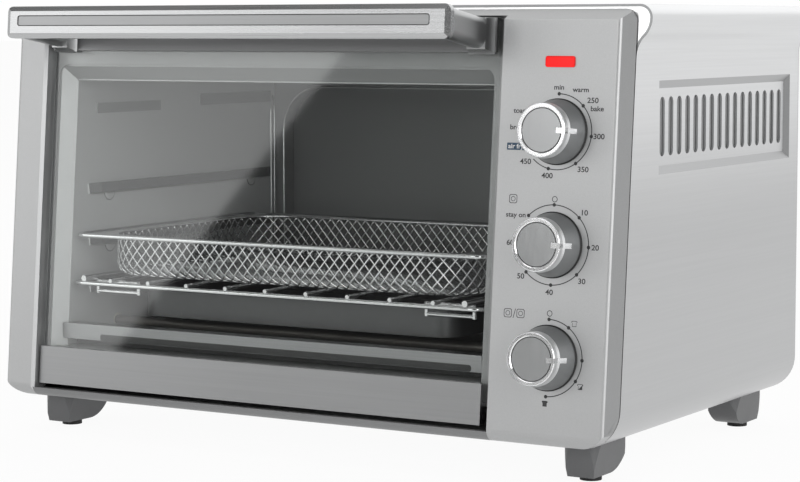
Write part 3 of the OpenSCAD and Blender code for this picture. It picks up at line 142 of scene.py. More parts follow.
surround = bpy.data.worlds.new("surround")
surround.use_nodes = True
surround.node_tree.nodes.clear()
sky = Wire(surround.node_tree)
FRONT_SHARE = 0.08
SOFT_SHARE = 0.75
direction = sky.node("ShaderNodeTexCoord", out="Generated")
behind = sky.node("ShaderNodeSeparateXYZ", {}, {0: direction}, out="Y").between(-0.6, 0.15)
level = behind * (1 - FRONT_SHARE) + FRONT_SHARE
mirrored = white_to_view(sky) * (1 - SOFT_SHARE) + SOFT_SHARE
direct = sky.node("ShaderNodeLightPath", out="Is Camera Ray")
surround_out = sky.node("ShaderNodeBackground", {}, {
    "Color": (1, 1, 1, 1),
    "Strength": (level * mirrored).most(direct)})
surround_end = surround.node_tree.nodes.new("ShaderNodeOutputWorld")
surround.node_tree.links.new(surround_out.socket, surround_end.inputs["Surface"])
bpy.context.scene.world = surround
bpy.context.scene.view_settings.view_transform = "Standard"

floor_mesh = bpy.data.meshes.new("table_top")
FLOOR_HALF = 30.0
floor_mesh.from_pydata([(-FLOOR_HALF, -FLOOR_HALF, 0), (FLOOR_HALF, -FLOOR_HALF, 0),
                        (FLOOR_HALF, FLOOR_HALF, 0), (-FLOOR_HALF, FLOOR_HALF, 0)],
                       [], [(0, 1, 2, 3)])
floor = bpy.data.objects.new("table_top", floor_mesh)
bpy.context.scene.collection.objects.link(floor)
floor_paint = bpy.data.materials.new("table_top")
floor_paint.use_nodes = True
floor_paint.node_tree.nodes.clear()
paint = Wire(floor_paint.node_tree)
matt_white = paint.node("ShaderNodeBsdfDiffuse", {}, {"Color": (0.95, 0.95, 0.95, 1)})
lit_white = paint.node("ShaderNodeEmission", {}, {"Color": (1, 1, 1, 1), "Strength": 1.0})
floor_mix = paint.node("ShaderNodeMixShader", {},
                       {0: white_to_view(paint) * 0.94, 1: matt_white, 2: lit_white})
floor_end = floor_paint.node_tree.nodes.new("ShaderNodeOutputMaterial")
floor_paint.node_tree.links.new(floor_mix.socket, floor_end.inputs["Surface"])
floor_mesh.materials.append(floor_paint)


def soft_box(name, at, towards, width, height, power, roll=0.0):
    """A rectangular area lamp that faces a point, turned about its own axis by roll degrees."""
    lamp = bpy.data.lights.new(name, "AREA")
    lamp.shape = "RECTANGLE"
    lamp.size = width
    lamp.size_y = height
    lamp.energy = power
    holder = bpy.data.objects.new(name, lamp)
    bpy.context.scene.collection.objects.link(holder)
    facing = (Vector(towards) - Vector(at)).to_track_quat("-Z", "Y").to_matrix().to_4x4()
    turn = Matrix.Rotation(math.radians(roll), 4, "Z")
    holder.matrix_world = Matrix.Translation(at) @ facing @ turn


soft_box("left_box", (-2.19, -2.04, 0.53), (-0.05, -0.12, 0.13), 1.3, 2.4, 18, -31)
soft_box("front_box", (-0.5, -3.0, 1.0), (0.1, 0, 0.15), 1.6, 1.2, 16)
soft_box("right_box", (2.2, -1.6, 0.75), (0, 0, 0.13), 1.8, 1.8, 34)
soft_box("back_box", (0.4, 2.6, 1.75), (0, 0, 0.2), 3.0, 1.5, 5)
soft_box("top_box", (-0.5, -0.2, 2.4), (0, 0, 0.2), 2.4, 2.0, 8)

camera = bpy.data.objects.new("camera", bpy.data.cameras.new("camera"))
bpy.context.scene.collection.objects.link(camera)
camera.data.lens = 106.06
camera.matrix_world = (
    Matrix.Translation((0.76874, -1.26844, 0.25441))
    @ Matrix.Rotation(math.radians(31.083), 4, "Z")
    @ Matrix.Rotation(math.radians(90 - 5.238), 4, "X")
    @ Matrix.Rotation(math.radians(-0.123), 4, "Z"))
bpy.context.scene.camera = camera


# ---------------------------------------------------------------- outer case
# One wrapped sheet of stainless steel with a brushed face, closed at the back by a pressed
# cover and below by a plain base sheet. Screws with cross slots hold the back cover on.

def material(name):
    """An empty material and the start of its nodes."""
    made = bpy.data.materials.new(name)
    made.use_nodes = True
    made.node_tree.nodes.clear()
    return made, Wire(made.node_tree)


def close(made, surface):
    """Ends a material on its surface shader."""
    end = made.node_tree.nodes.new("ShaderNodeOutputMaterial")
    made.node_tree.links.new(surface.socket, end.inputs["Surface"])
    return made


def spots(wire, scale, stretch=(1, 1, 1), detail=3.0, roughness=0.5):
    """Noise on the piece itself, finer along the axes with the larger stretch."""
    place = wire.node("ShaderNodeTexCoord", out="Object")
    spread = wire.node("ShaderNodeVectorMath", {"operation": "MULTIPLY"},
                       {0: place, 1: stretch})
    return wire.node("ShaderNodeTexNoise", {}, {"Vector": spread, "Scale": scale,
                     "Detail": detail, "Roughness": roughness})


def bumped(wire, height, depth):
    """The surface normal, raised by a height from 0 to 1 times a depth in metres."""
    return wire.node("ShaderNodeBump", {}, {"Height": height, "Distance": depth,
                     "Strength": 1.0})


LINE_DEPTH = 0.0015 * MM
# Between these heights the case's painted highlight rises from none to full.
SHEEN_LOW = 130 * MM
SHEEN_HIGH = 230 * MM


def brushed(name, colour, along, rough=0.34, grain=0.10, painted_sheen=0.0, metallic=1.0):
    """Metal with fine lines along one axis, faint smears and slightly uneven gloss. The share
    after grain is a painted highlight: the colour grows that much brighter towards the shoulder."""
    made, wire = material(name)
    fine = [900.0, 900.0, 900.0]
    coarse = [160.0, 160.0, 160.0]
    for axis in along:
        fine["xyz".index(axis)] = 9.0
        coarse["xyz".index(axis)] = 2.0
    lines = spots(wire, 1.0, fine, 2.0)
    bands = spots(wire, 1.0, coarse, 2.0)
    smears = spots(wire, 7.0, (1, 1, 1), 4.0)
    mark = lines * 0.7 + bands * 0.3
    place = wire.node("ShaderNodeTexCoord", out="Object")
    rise = wire.node("ShaderNodeSeparateXYZ", {}, {0: place}, out="Z").between(SHEEN_LOW,
                                                                               SHEEN_HIGH)
    ends = []
    for share in (1 - grain, 1 + grain):
        low = tuple(min(1, value * share) for value in colour) + (1,)
        high = tuple(min(1, value * share * (1 + painted_sheen)) for value in colour) + (1,)
        ends.append(rise.shade(low, high))
    face = wire.node("ShaderNodeBsdfPrincipled", {}, {
        "Base Color": mark.between(0.25, 0.75).shade(*ends),
        "Metallic": metallic,
        "Roughness": rough + (mark - 0.5) * 0.10 + (smears - 0.5) * 0.08,
        "Normal": bumped(wire, lines, LINE_DEPTH)})
    return close(made, face)


def dress(finish, *names):
    """Gives a finish to CAD nodes."""
    for name in names:
        slots = NODES[name].material_slots
        if not slots:
            NODES[name].data.materials.append(finish)
        for slot in slots:
            slot.material = finish


# The case steel carries a painted highlight that grows brighter towards the shoulder.
case_steel = brushed("brushed_case_steel", (0.49, 0.494, 0.498), "y", 0.33, 0.03, 0.42)
dress(case_steel, "outer_case", "side_vent_panel")
back_steel = brushed("back_cover_steel", (0.50, 0.505, 0.51), "x", 0.40, 0.05)
dress(back_steel, "back_cover")


def galvanised(name, colour, rough=0.45):
    """Plain zinc-coated sheet: pale flakes a few millimetres wide over a dull grey."""
    made, wire = material(name)
    place = wire.node("ShaderNodeTexCoord", out="Object")
    flakes = wire.node("ShaderNodeTexVoronoi", {}, {"Vector": place, "Scale": 240.0},
                       out="Color")
    level = wire.node("ShaderNodeRGBToBW", {}, {"Color": flakes})
    dirt = spots(wire, 25.0)
    dark = tuple(value * 0.86 for value in colour) + (1,)
    light = tuple(min(1, value * 1.10) for value in colour) + (1,)
    face = wire.node("ShaderNodeBsdfPrincipled", {}, {
        "Base Color": (level * 0.6 + dirt * 0.4).shade(dark, light),
        "Metallic": 0.85,
        "Roughness": rough + (level - 0.5) * 0.12,
        "Normal": bumped(wire, dirt, 0.00003)})
    return close(made, face)


zinc_sheet = galvanised("zinc_sheet", (0.42, 0.425, 0.43))
dress(zinc_sheet, "base_plate", "cavity_spacers", "fan_housing", "control_bracket",
      "hinge_lugs")


def plated(name, colour, rough):
    """Bright plating on small turned pieces and wire, with faint drawing marks."""
    made, wire = material(name)
    marks = spots(wire, 420.0)
    clouds = spots(wire, 40.0)
    dark = tuple(value * 0.93 for value in colour) + (1,)
    face = wire.node("ShaderNodeBsdfPrincipled", {}, {
        "Base Color": clouds.shade(dark, tuple(colour) + (1,)),
        "Metallic": 1.0,
        "Roughness": rough + (marks - 0.5) * 0.08,
        "Normal": bumped(wire, marks, 0.0000006)})
    return close(made, face)


screw_steel = plated("screw_steel", (0.55, 0.55, 0.55), 0.3)
dress(screw_steel, "case_screws", "foot_screws", "handle_screws", "hinge_pins", "fan_shaft",
      "knob_shaft_upper", "knob_shaft_middle", "knob_shaft_lower")


def link_piece(name, mesh, finish, body):
    """Gives a mesh its finish, and lets it ride on a body."""
    mesh.materials.append(finish)
    piece = bpy.data.objects.new(name, mesh)
    bpy.context.scene.collection.objects.link(piece)
    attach(piece, body)
    return piece


def new_piece(name, shape, finish, body):
    """Makes a mesh object from a bmesh, and lets it ride on a body."""
    mesh = bpy.data.meshes.new(name)
    bmesh.ops.recalc_face_normals(shape, faces=shape.faces)
    shape.to_mesh(mesh)
    shape.free()
    return link_piece(name, mesh, finish, body)


def rectangle(left, foot, right, head):
    """The four corners of an upright rectangle."""
    return [(left, foot), (right, foot), (right, head), (left, head)]


def plate(shape, outline, at, right, up, out, thick):
    """Adds a flat plate to a bmesh: an outline in right and up from a point, thick along out."""
    foot = [shape.verts.new(at + right * x + up * y) for x, y in outline]
    head = [shape.verts.new(at + right * x + up * y + out * thick) for x, y in outline]
    shape.faces.new(head)
    shape.faces.new(foot[::-1])
    for i in range(len(outline)):
        j = (i + 1) % len(outline)
        shape.faces.new((foot[i], foot[j], head[j], head[i]))


WELD = 0.01 * MM
COAT_LIFT = 0.04 * MM


def welded(node):
    """A bmesh of a CAD node, with its doubled points joined."""
    shape = bmesh.new()
    shape.from_mesh(NODES[node].data)
    bmesh.ops.remove_doubles(shape, verts=shape.verts, dist=WELD)
    return shape


def overlay(name, node, keep, finish, body):
    """A coat just proud of those faces of a CAD node that keep() picks."""
    shape = welded(node)
    shape.normal_update()
    bmesh.ops.delete(shape, geom=[face for face in shape.faces if not keep(face)],
                     context="FACES")
    shape.normal_update()
    for vert in shape.verts:
        vert.co += vert.normal * COAT_LIFT
    mesh = bpy.data.meshes.new(name)
    shape.to_mesh(mesh)
    shape.free()
    link_piece(name, mesh, finish, body)


def solid_boxes(node):
    """Low and high corner of each separate solid of a CAD node."""
    shape = welded(node)
    left = set(shape.verts)
    found = []
    while left:
        island = {left.pop()}
        edge = list(island)
        while edge:
            vert = edge.pop()
            for link in vert.link_edges:
                other = link.other_vert(vert)
                if other in left:
                    left.discard(other)
                    island.add(other)
                    edge.append(other)
        low = [min(vert.co[axis] for vert in island) for axis in range(3)]
        high = [max(vert.co[axis] for vert in island) for axis in range(3)]
        found.append((Vector(low), Vector(high)))
    shape.free()
    return sorted(found, key=lambda pair: tuple(pair[0]))


def plain_coat(name, grain, dark, light, rough, metallic=0.0):
    """A thin even coat or ink, in two near tones with a fine grain."""
    made, wire = material(name)
    return close(made, wire.node("ShaderNodeBsdfPrincipled", {}, {
        "Base Color": spots(wire, grain).shade(dark + (1,), light + (1,)),
        "Metallic": metallic,
        "Roughness": rough}))


RIGHT = Vector((1, 0, 0))
BACK = Vector((0, 1, 0))
UP = Vector((0, 0, 1))
RECESS_ARM = 0.3
RECESS_SLOT = 0.22
# Black crosses on the screw heads are painted shade standing for their cross slots.
cross_slot_shade = plain_coat("screw_recess_shade", 900.0, (0.02, 0.02, 0.02), (0.07, 0.07, 0.07), 0.6, 0.6)
cross = bmesh.new()
for low, high in solid_boxes("case_screws"):
    middle = (low + high) / 2
    middle.y = high.y - 0.02 * MM
    arm = (high.x - low.x) * RECESS_ARM
    for wide, tall in ((arm, arm * RECESS_SLOT), (arm * RECESS_SLOT, arm)):
        plate(cross, rectangle(-wide, -tall, wide, tall), middle, RIGHT, UP, BACK, 0.05 * MM)
new_piece("case_screw_recess_shades", cross, cross_slot_shade, "oven_body")


# The sheet's front edge is folded to a narrow hem; a strip along it in a darker copy of the steel
# is painted shade.

hem_shade_steel = brushed("hem_shade_steel", (0.26, 0.264, 0.266), "x", 0.36, 0.03)
HEM_WIDE = 1.5 * MM
HEM_LIFT = 0.09 * MM
SQUARE_ON = 0.99
SMALL_FACE = 100 * MM * MM
face_out = -Vector(JOINTS["timer_turn"]["axis"]).normalized()
case_middle = (cad_box[0][2] + cad_box[1][2]) / 2


def spot_key(point):
    """A point to the micron, to find it again in a dictionary."""
    return tuple(round(value, 6) for value in point)


wrap = welded("outer_case")
bmesh.ops.dissolve_limit(wrap, angle_limit=0.001, verts=wrap.verts, edges=wrap.edges)
wrap.normal_update()
edges = []
outward = {}
for edge in wrap.edges:
    if len(edge.link_faces) != 2:
        continue
    flank, front = sorted(edge.link_faces, key=lambda face: face.normal.dot(face_out))
    middle = (edge.verts[0].co + edge.verts[1].co) / 2
    middle = Vector((middle.x, 0, middle.z - case_middle))
    if (front.normal.dot(face_out) > SQUARE_ON and front.calc_area() > SMALL_FACE
            and abs(flank.normal.dot(face_out)) < 0.5 and flank.normal.dot(middle) > 0):
        edges.append([vert.co.copy() for vert in edge.verts])
        side = (flank.normal - face_out * flank.normal.dot(face_out)).normalized()
        for vert in edge.verts:
            key = spot_key(vert.co)
            outward[key] = outward.get(key, Vector()) + side
wrap.free()
hem = bmesh.new()
for ends in edges:
    inner = [end - outward[spot_key(end)].normalized() * HEM_WIDE for end in ends]
    hem.faces.new([hem.verts.new(corner + face_out * HEM_LIFT)
                   for corner in (ends[0], ends[1], inner[1], inner[0])])
new_piece("case_hem_shade", hem, hem_shade_steel, "oven_body")

# Inside the hem the shoulder's front takes a near-white copy of the steel, a painted highlight.
# The slopes and ledge of the pressed vent field take darker copies of the steel, each in its own
# tone: painted shade.

shoulder_highlight_steel = brushed("shoulder_highlight_steel", (0.90, 0.90, 0.905), "x", 0.30, 0.01)
overlay("shoulder_front_highlight", "outer_case",
        lambda face: face.normal.dot(face_out) > SQUARE_ON and face.calc_center_median().x > 0,
        shoulder_highlight_steel, "oven_body")
for name, tone, keep in (
        ("vent_top_slope_shade", 0.43, lambda face: face.normal.z < -0.3 and face.normal.x > 0.5),
        ("vent_end_slope_shade", 0.27, lambda face: face.normal.y < -0.3 and face.normal.x > 0.5),
        ("vent_ledge_shade", 0.40, lambda face: face.normal.z > 0.3 and face.normal.x > 0.5)):
    slope_shade_steel = brushed(name, (tone, tone * 1.01, tone * 1.02), "y", 0.36, 0.03)
    overlay(name, "side_vent_panel", keep, slope_shade_steel, "oven_body")

# A dull baffle sheet hangs just behind the vent slots.

baffle_paint, baffle_wire = material("baffle_coat")
baffle_dust = spots(baffle_wire, 120.0)
close(baffle_paint, baffle_wire.node("ShaderNodeBsdfPrincipled", {}, {
    "Base Color": baffle_dust.shade((0.24, 0.243, 0.245, 1), (0.29, 0.293, 0.295, 1)),
    "Metallic": 0.2,
    "Roughness": 0.5 + baffle_dust * 0.1}))
BAFFLE_BACK = 1.0 * MM
BAFFLE_THICK = 0.6 * MM
low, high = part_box("side_vent_panel")
baffle = bmesh.new()
plate(baffle, rectangle(low.y, low.z, high.y, high.z), Vector((low.x - BAFFLE_BACK, 0, 0)),
      BACK, UP, RIGHT, BAFFLE_THICK)
new_piece("vent_baffle", baffle, baffle_paint, "oven_body")


# ---------------------------------------------------------------- bezel and control panel
# A raked front frame in satin silver: a left post, two slim rails and the wide control
# panel, all with a rounded outer edge. Fine metal flake lies in its paint.

def flake_paint(name, colour, rough, metallic=0.75):
    """Silver paint: tiny bright flakes, a soft drift in tone and a fine orange-peel skin."""
    made, wire = material(name)
    flake = spots(wire, 1900.0, (1, 1, 1), 1.0)
    drift = spots(wire, 5.0)
    skin = spots(wire, 320.0)
    dark = tuple(value * 0.94 for value in colour) + (1,)
    light = tuple(min(1, value * 1.05) for value in colour) + (1,)
    face = wire.node("ShaderNodeBsdfPrincipled", {}, {
        "Base Color": (flake * 0.5 + drift * 0.5).between(0.3, 0.7).shade(dark, light),
        "Metallic": metallic,
        "Roughness": rough + (flake - 0.5) * 0.14 + (drift - 0.5) * 0.08,
        "Coat Weight": 0.12 + (skin - 0.5) * 0.1,
        "Coat Roughness": 0.2,
        "Normal": bumped(wire, skin, 0.00002)})
    return close(made, face)


bezel_paint = flake_paint("bezel_silver", (0.42, 0.424, 0.426), 0.42)
dress(bezel_paint, "bezel_left", "bezel_rails", "control_panel")
# The panel's right side band and the lower rail's front take darker copies of the same paint:
# painted shade.
side_shade_paint = flake_paint("bezel_side_shade_silver", (0.29, 0.293, 0.295), 0.46)
overlay("bezel_side_shade_band", "control_panel",
        lambda face: face.normal.x > 0.8 and face.calc_center_median().x > 200 * MM,
        side_shade_paint, "oven_body")
low_shade_paint = flake_paint("bezel_low_shade_silver", (0.23, 0.232, 0.234), 0.46)
overlay("bezel_low_shade_band", "bezel_rails",
        lambda face: face.normal.y < -0.1 and face.calc_center_median().z < 100 * MM,
        low_shade_paint, "oven_body")


# ---------------------------------------------------------------- dial marks
# Scales printed in dark ink round the three knobs: an arc with a dot at each setting, plain
# numbers and plain words, and small slices of bread for the toast shades.

face_up = Vector((0, face_out.z, -face_out.y))
face_right = RIGHT
ink, ink_wire = material("panel_ink")
close(ink, ink_wire.node("ShaderNodeBsdfPrincipled", {}, {
    "Base Color": spots(ink_wire, 700.0).shade((0.012, 0.012, 0.013, 1), (0.035, 0.035, 0.036, 1)),
    "Roughness": 0.42 + spots(ink_wire, 300.0) * 0.12}))
INK_THICK = 0.04 * MM
INK_SPREAD = 0.08 * MM
LETTER_WIDTH = 1.12
CAPITAL_SHARE = 0.70


def dial(joint, x=0.0, up=0.0):
    """A point on the panel, in millimetres right of and above a knob's axis."""
    return Vector(JOINTS[joint]["pos_m"]) + face_right * x * MM + face_up * up * MM


def clock(degrees, radius):
    """Right and up of a point at an angle clockwise from 12 o'clock."""
    turn = math.radians(degrees)
    return radius * math.sin(turn), radius * math.cos(turn)


def ring_part(shape, joint, radius, width, start, stop, centre=(0, 0)):
    """An arc of ink between two clock angles."""
    steps = max(8, int(abs(stop - start) / 3))
    inner = [clock(start + (stop - start) * i / steps, radius - width / 2)
             for i in range(steps + 1)]
    outer = [clock(start + (stop - start) * i / steps, radius + width / 2)
             for i in range(steps + 1)]
    at = dial(joint, *centre)
    for i in range(steps):
        quad = [inner[i], outer[i], outer[i + 1], inner[i + 1]]
        plate(shape, [(x * MM, y * MM) for x, y in quad], at, face_right, face_up, face_out,
              INK_THICK)


def blot(shape, joint, outline, centre=(0, 0)):
    """A filled outline of ink, in millimetres from a place beside the knob."""
    plate(shape, [(x * MM, y * MM) for x, y in outline], dial(joint, *centre), face_right,
          face_up, face_out, INK_THICK)


def dot(shape, joint, degrees, radius, size=1.05):
    blot(shape, joint, [clock(30 * i, size) for i in range(12)], clock(degrees, radius))


def border(shape, joint, outline, share, centre):
    """A line of ink along the inside of an outline, as wide as a share of its reach."""
    for i, start in enumerate(outline):
        stop = outline[(i + 1) % len(outline)]
        inner = [(x * (1 - share), y * (1 - share)) for x, y in (stop, start)]
        blot(shape, joint, [start, stop, *inner], centre)


def cut_square(half):
    """The outline of a small square with cut corners."""
    cut = half * 0.3
    return [(-half, -half + cut), (-half + cut, -half), (half - cut, -half), (half, -half + cut),
            (half, half - cut), (half - cut, half), (-half + cut, half), (-half, half - cut)]


DIALS = (
    ("temperature_turn", 20.9, 0, 223, (0, 46, 96, 145, 193)),
    ("timer_turn", 22.1, -45, 225, (-45, 0, 45, 91, 135, 180, 225)),
    ("toast_turn", 21.3, 0, 180, (0, 35, 90, 123, 180)))
for joint, radius, start, stop, dots in DIALS:
    scale = bmesh.new()
    ring_part(scale, joint, radius, 0.56, start, stop)
    for degrees in dots:
        dot(scale, joint, degrees, radius)
    new_piece(joint.replace("_turn", "_scale"), scale, ink, "oven_body")

BREAD = [(-1.3, -1.6), (1.3, -1.6), (1.3, 0.4), (1.8, 0.7), (1.7, 1.4), (1.0, 1.6), (-1.0, 1.6),
         (-1.7, 1.4), (-1.8, 0.7), (-1.3, 0.4)]
CRUST = 0.3 / 1.6
BOX_HALF = 2.5
BOX_LINE = 0.36
signs = bmesh.new()
for joint, height in (("timer_turn", 25.2), ("toast_turn", 24.6)):
    ring_part(signs, joint, 1.5, 0.4, 0, 360, (0.2, height))
for place in ((15.6, 19.8), (20.9, -14.4)):
    border(signs, "toast_turn", BREAD, CRUST, place)
blot(signs, "toast_turn", BREAD[:5], (20.9, -14.4))
blot(signs, "toast_turn", BREAD, (-0.4, -25.2))
for joint, x, up in (("timer_turn", -25.7, 24.6), ("toast_turn", -25.9, 23.4),
                     ("toast_turn", -17.9, 23.5)):
    border(signs, joint, cut_square(BOX_HALF), BOX_LINE / BOX_HALF, (x, up))
    ring_part(signs, joint, 1.25, 0.32, 0, 360, (x, up))
blot(signs, "toast_turn", [(-0.9, -2.6), (-0.5, -2.6), (0.9, 2.6), (0.5, 2.6)], (-21.8, 23.4))
new_piece("panel_signs", signs, ink, "oven_body")


def words(text, joint, x, up, height=2.9, colour=ink, lift=0.0):
    """A word or number printed on the panel, its middle at a place beside the knob."""
    curve = bpy.data.curves.new(text, "FONT")
    curve.body = text
    curve.size = height * MM / CAPITAL_SHARE
    curve.align_x = "CENTER"
    curve.align_y = "CENTER"
    curve.extrude = INK_THICK / 2
    curve.offset = INK_SPREAD
    maker = bpy.data.objects.new("mark", curve)
    bpy.context.scene.collection.objects.link(maker)
    bpy.context.view_layer.update()
    mesh = bpy.data.meshes.new_from_object(maker)
    bpy.data.objects.remove(maker)
    mesh.materials.clear()
    at = dial(joint, x, up) + face_out * (INK_THICK / 2 + lift)
    turn = Matrix((face_right * LETTER_WIDTH, face_up, face_out)).transposed().to_4x4()
    mesh.transform(Matrix.Translation(at) @ turn)
    name = "mark_" + joint.replace("turn", "") + "".join(c for c in text if c.isalnum())
    link_piece(name, mesh, colour, "oven_body")


for text, x, up in (("250", 20.8, 17.4), ("300", 25.4, -2.2), ("350", 16.6, -20.4),
                    ("400", -5.2, -24.4), ("450", -19.0, -16.9)):
    words(text, "temperature_turn", x, up)
for text, x, up in (("min", -0.2, 24.4), ("warm", 13.2, 23.2), ("bake", 23.6, 12.9),
                    ("toast", -23.5, 11.2), ("broil", -25.7, 2.0)):
    words(text, "temperature_turn", x, up, 2.7)
for text, x, up in (("10", 18.6, 18.3), ("20", 26.2, -0.5), ("30", 18.9, -19.2),
                    ("40", -0.7, -26.2), ("50", -18.9, -18.2), ("60", -26.4, 0.1)):
    words(text, "timer_turn", x, up)
words("stay on", "timer_turn", -23.6, 15.7, 2.7)

badge_blue = plain_coat("badge_ink", 500.0, (0.02, 0.055, 0.10), (0.03, 0.075, 0.13), 0.45)
pale_ink = plain_coat("pale_ink", 500.0, (0.75, 0.75, 0.75), (0.85, 0.85, 0.85), 0.5)
badge = bmesh.new()
blot(badge, "temperature_turn", [(-5.6, -1.7), (-5.3, -2.0), (5.3, -2.0), (5.6, -1.7), (5.6, 1.7),
                                 (5.3, 2.0), (-5.3, 2.0), (-5.6, 1.7)], (-25.5, -8.6))
new_piece("air_fry_badge", badge, badge_blue, "oven_body")
words("air fry", "temperature_turn", -25.5, -8.6, 2.5, pale_ink, lift=INK_THICK)


# ---------------------------------------------------------------- knobs
# Three tapered knobs in satin grey with a dished cap, each with a bright metal ring round
# its front edge and one bright pointer that runs over the ring and down the side.

def moulded(name, colour, rough, metallic=0.0, depth=0.00003, grain=800.0):
    """Moulded plastic with a fine spark-eroded grain and slight scuffs."""
    made, wire = material(name)
    fine = spots(wire, grain, (1, 1, 1), 2.0)
    scuffs = spots(wire, 60.0, (1, 1, 1), 5.0)
    dark = tuple(value * 0.92 for value in colour) + (1,)
    light = tuple(min(1, value * 1.06) for value in colour) + (1,)
    face = wire.node("ShaderNodeBsdfPrincipled", {}, {
        "Base Color": (fine * 0.5 + scuffs * 0.5).shade(dark, light),
        "Metallic": metallic,
        "Roughness": rough + (scuffs - 0.5) * 0.16,
        "Normal": bumped(wire, fine, depth)})
    return close(made, face)


knob_grey = moulded("knob_grey", (0.25, 0.257, 0.26), 0.36, 0.55, 0.00001)
dress(knob_grey, "knob_temperature", "knob_timer", "knob_toast")
ring_bright = plated("ring_bright", (0.93, 0.935, 0.94), 0.16)
dress(ring_bright, "ring_temperature", "ring_timer", "ring_toast")
cap_satin = brushed("cap_satin", (0.37, 0.376, 0.378), "z", 0.24, 0.02)
band_bright = plated("band_bright", (0.95, 0.955, 0.96), 0.34)
# A black coat for the knobs' foot and cap edge: painted shadow and painted shade.
knob_shade_black = moulded("knob_shade_black", (0.012, 0.012, 0.012), 0.6)


def turned(name, joint, profile, finish):
    """A surface turned about a knob's axis, from radius and height above the panel. One that
    ends on the radius it began with is closed by a disc."""
    shape = bmesh.new()
    steps = 64
    rows = []
    for radius, height in profile:
        at = dial(joint) + face_out * height * MM
        rows.append([shape.verts.new(at + (face_right * math.sin(2 * math.pi * i / steps)
                     + face_up * math.cos(2 * math.pi * i / steps)) * radius * MM)
                     for i in range(steps)])
    for lower, upper in zip(rows, rows[1:]):
        for i in range(steps):
            j = (i + 1) % steps
            shape.faces.new((lower[i], lower[j], upper[j], upper[i]))
    if profile[0][0] == profile[-1][0]:
        shape.faces.new(rows[-1])
    new_piece(name, shape, finish, joint.replace("_turn", "_knob"))


CAP_HEIGHT = 19.33
CAP_RADIUS = 12.35
# The cap's black edge ring is painted shade between the cap and the metal ring; the black skirt at
# the foot is a painted shadow line against the panel.
EDGE_PROFILE = ((12.38, CAP_HEIGHT + 0.03), (11.85, CAP_HEIGHT + 0.03))
BAND_PROFILE = ((15.21, 14.3), (14.76, 16.4), (14.74, 19.9))
SKIRT_PROFILE = ((18.4, 0.12), (18.4, 0.5), (17.77, 0.95), (17.77, 1.3))
for stem in ("temperature", "timer", "toast"):
    joint = stem + "_turn"
    turned("cap_" + stem, joint, ((CAP_RADIUS, CAP_HEIGHT - 0.3), (CAP_RADIUS, CAP_HEIGHT)),
           cap_satin)
    turned("cap_edge_" + stem, joint, EDGE_PROFILE, knob_shade_black)
    turned("ring_band_" + stem, joint, BAND_PROFILE, band_bright)
    turned("skirt_" + stem, joint, SKIRT_PROFILE, knob_shade_black)


# ---------------------------------------------------------------- pilot lamp
# A rounded lens of clear red plastic in the control panel, with the lamp behind it lit. Its
# edge glows less than its middle.

lamp_red, lamp_wire = material("lamp_red")
lens_flow = spots(lamp_wire, 260.0)
lens_low, lens_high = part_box("lamp_lens")
lens_place = lamp_wire.node("ShaderNodeTexCoord", out="Object")
lens_x, lens_z = [lamp_wire.node("ShaderNodeSeparateXYZ", {}, {0: lens_place}, out=axis)
                  for axis in "XZ"]
from_side = abs(lens_x - (lens_low.x + lens_high.x) / 2)
from_middle = abs(lens_z - (lens_low.z + lens_high.z) / 2)
rim = from_side.between(7.6 * MM, 8.8 * MM).most(from_middle.between(2.0 * MM, 3.0 * MM))
close(lamp_red, lamp_wire.node("ShaderNodeBsdfPrincipled", {}, {
    "Base Color": lens_flow.shade((0.50, 0.002, 0.002, 1), (0.6, 0.006, 0.006, 1)),
    "Roughness": 0.10 + lens_flow * 0.06,
    "Specular IOR Level": 0.2,
    "Emission Color": (rim * 0.9 + lens_flow * 0.1).shade((1, 0.012, 0.012, 1),
                                                          (0.28, 0.001, 0.001, 1)),
    "Emission Strength": 0.7}))
dress(lamp_red, "lamp_lens")


# ---------------------------------------------------------------- door
# A drop-down door: a folded steel rail below and a flat steel band above hold one clear
# pane. The handle is a slim plate on two solid returns, with a darker inlay let into it.

door_steel = brushed("door_steel", (0.24, 0.242, 0.244), "x", 0.33, 0.03)
dress(door_steel, "door_band")
rail_steel = brushed("rail_steel", (0.29, 0.293, 0.295), "x", 0.34, 0.03)
dress(rail_steel, "door_rail")
handle_metal = brushed("handle_metal", (0.47, 0.475, 0.478), "x", 0.27, 0.04)
dress(handle_metal, "handle_plate")
return_metal = plated("return_metal", (0.44, 0.445, 0.448), 0.36)
dress(return_metal, "handle_returns")
strip_metal = brushed("strip_metal", (0.29, 0.294, 0.296), "x", 0.30, 0.03)
dress(strip_metal, "handle_strip")

# A black ring round the inlay paints the shade in the groove where it lies.

shade_black = plain_coat("shade_black", 600.0, (0.03, 0.03, 0.03), (0.06, 0.06, 0.06), 0.5)


def rounded_outline(half_wide, half_tall, radius, grow, steps=8):
    """Right and up of the points of a rectangle with round corners, moved out by grow."""
    points = []
    for quarter, (right, up) in enumerate(((1, 1), (-1, 1), (-1, -1), (1, -1))):
        for i in range(steps + 1):
            angle = math.radians(90 * quarter + 90 * i / steps)
            points.append((right * (half_wide - radius) + (radius + grow) * math.cos(angle),
                           up * (half_tall - radius) + (radius + grow) * math.sin(angle)))
    return points


def span_along(node, axis):
    """How far a CAD node reaches along an axis, and back along it."""
    reach = [vert.co.dot(axis) for vert in NODES[node].data.vertices]
    return max(reach), min(reach)


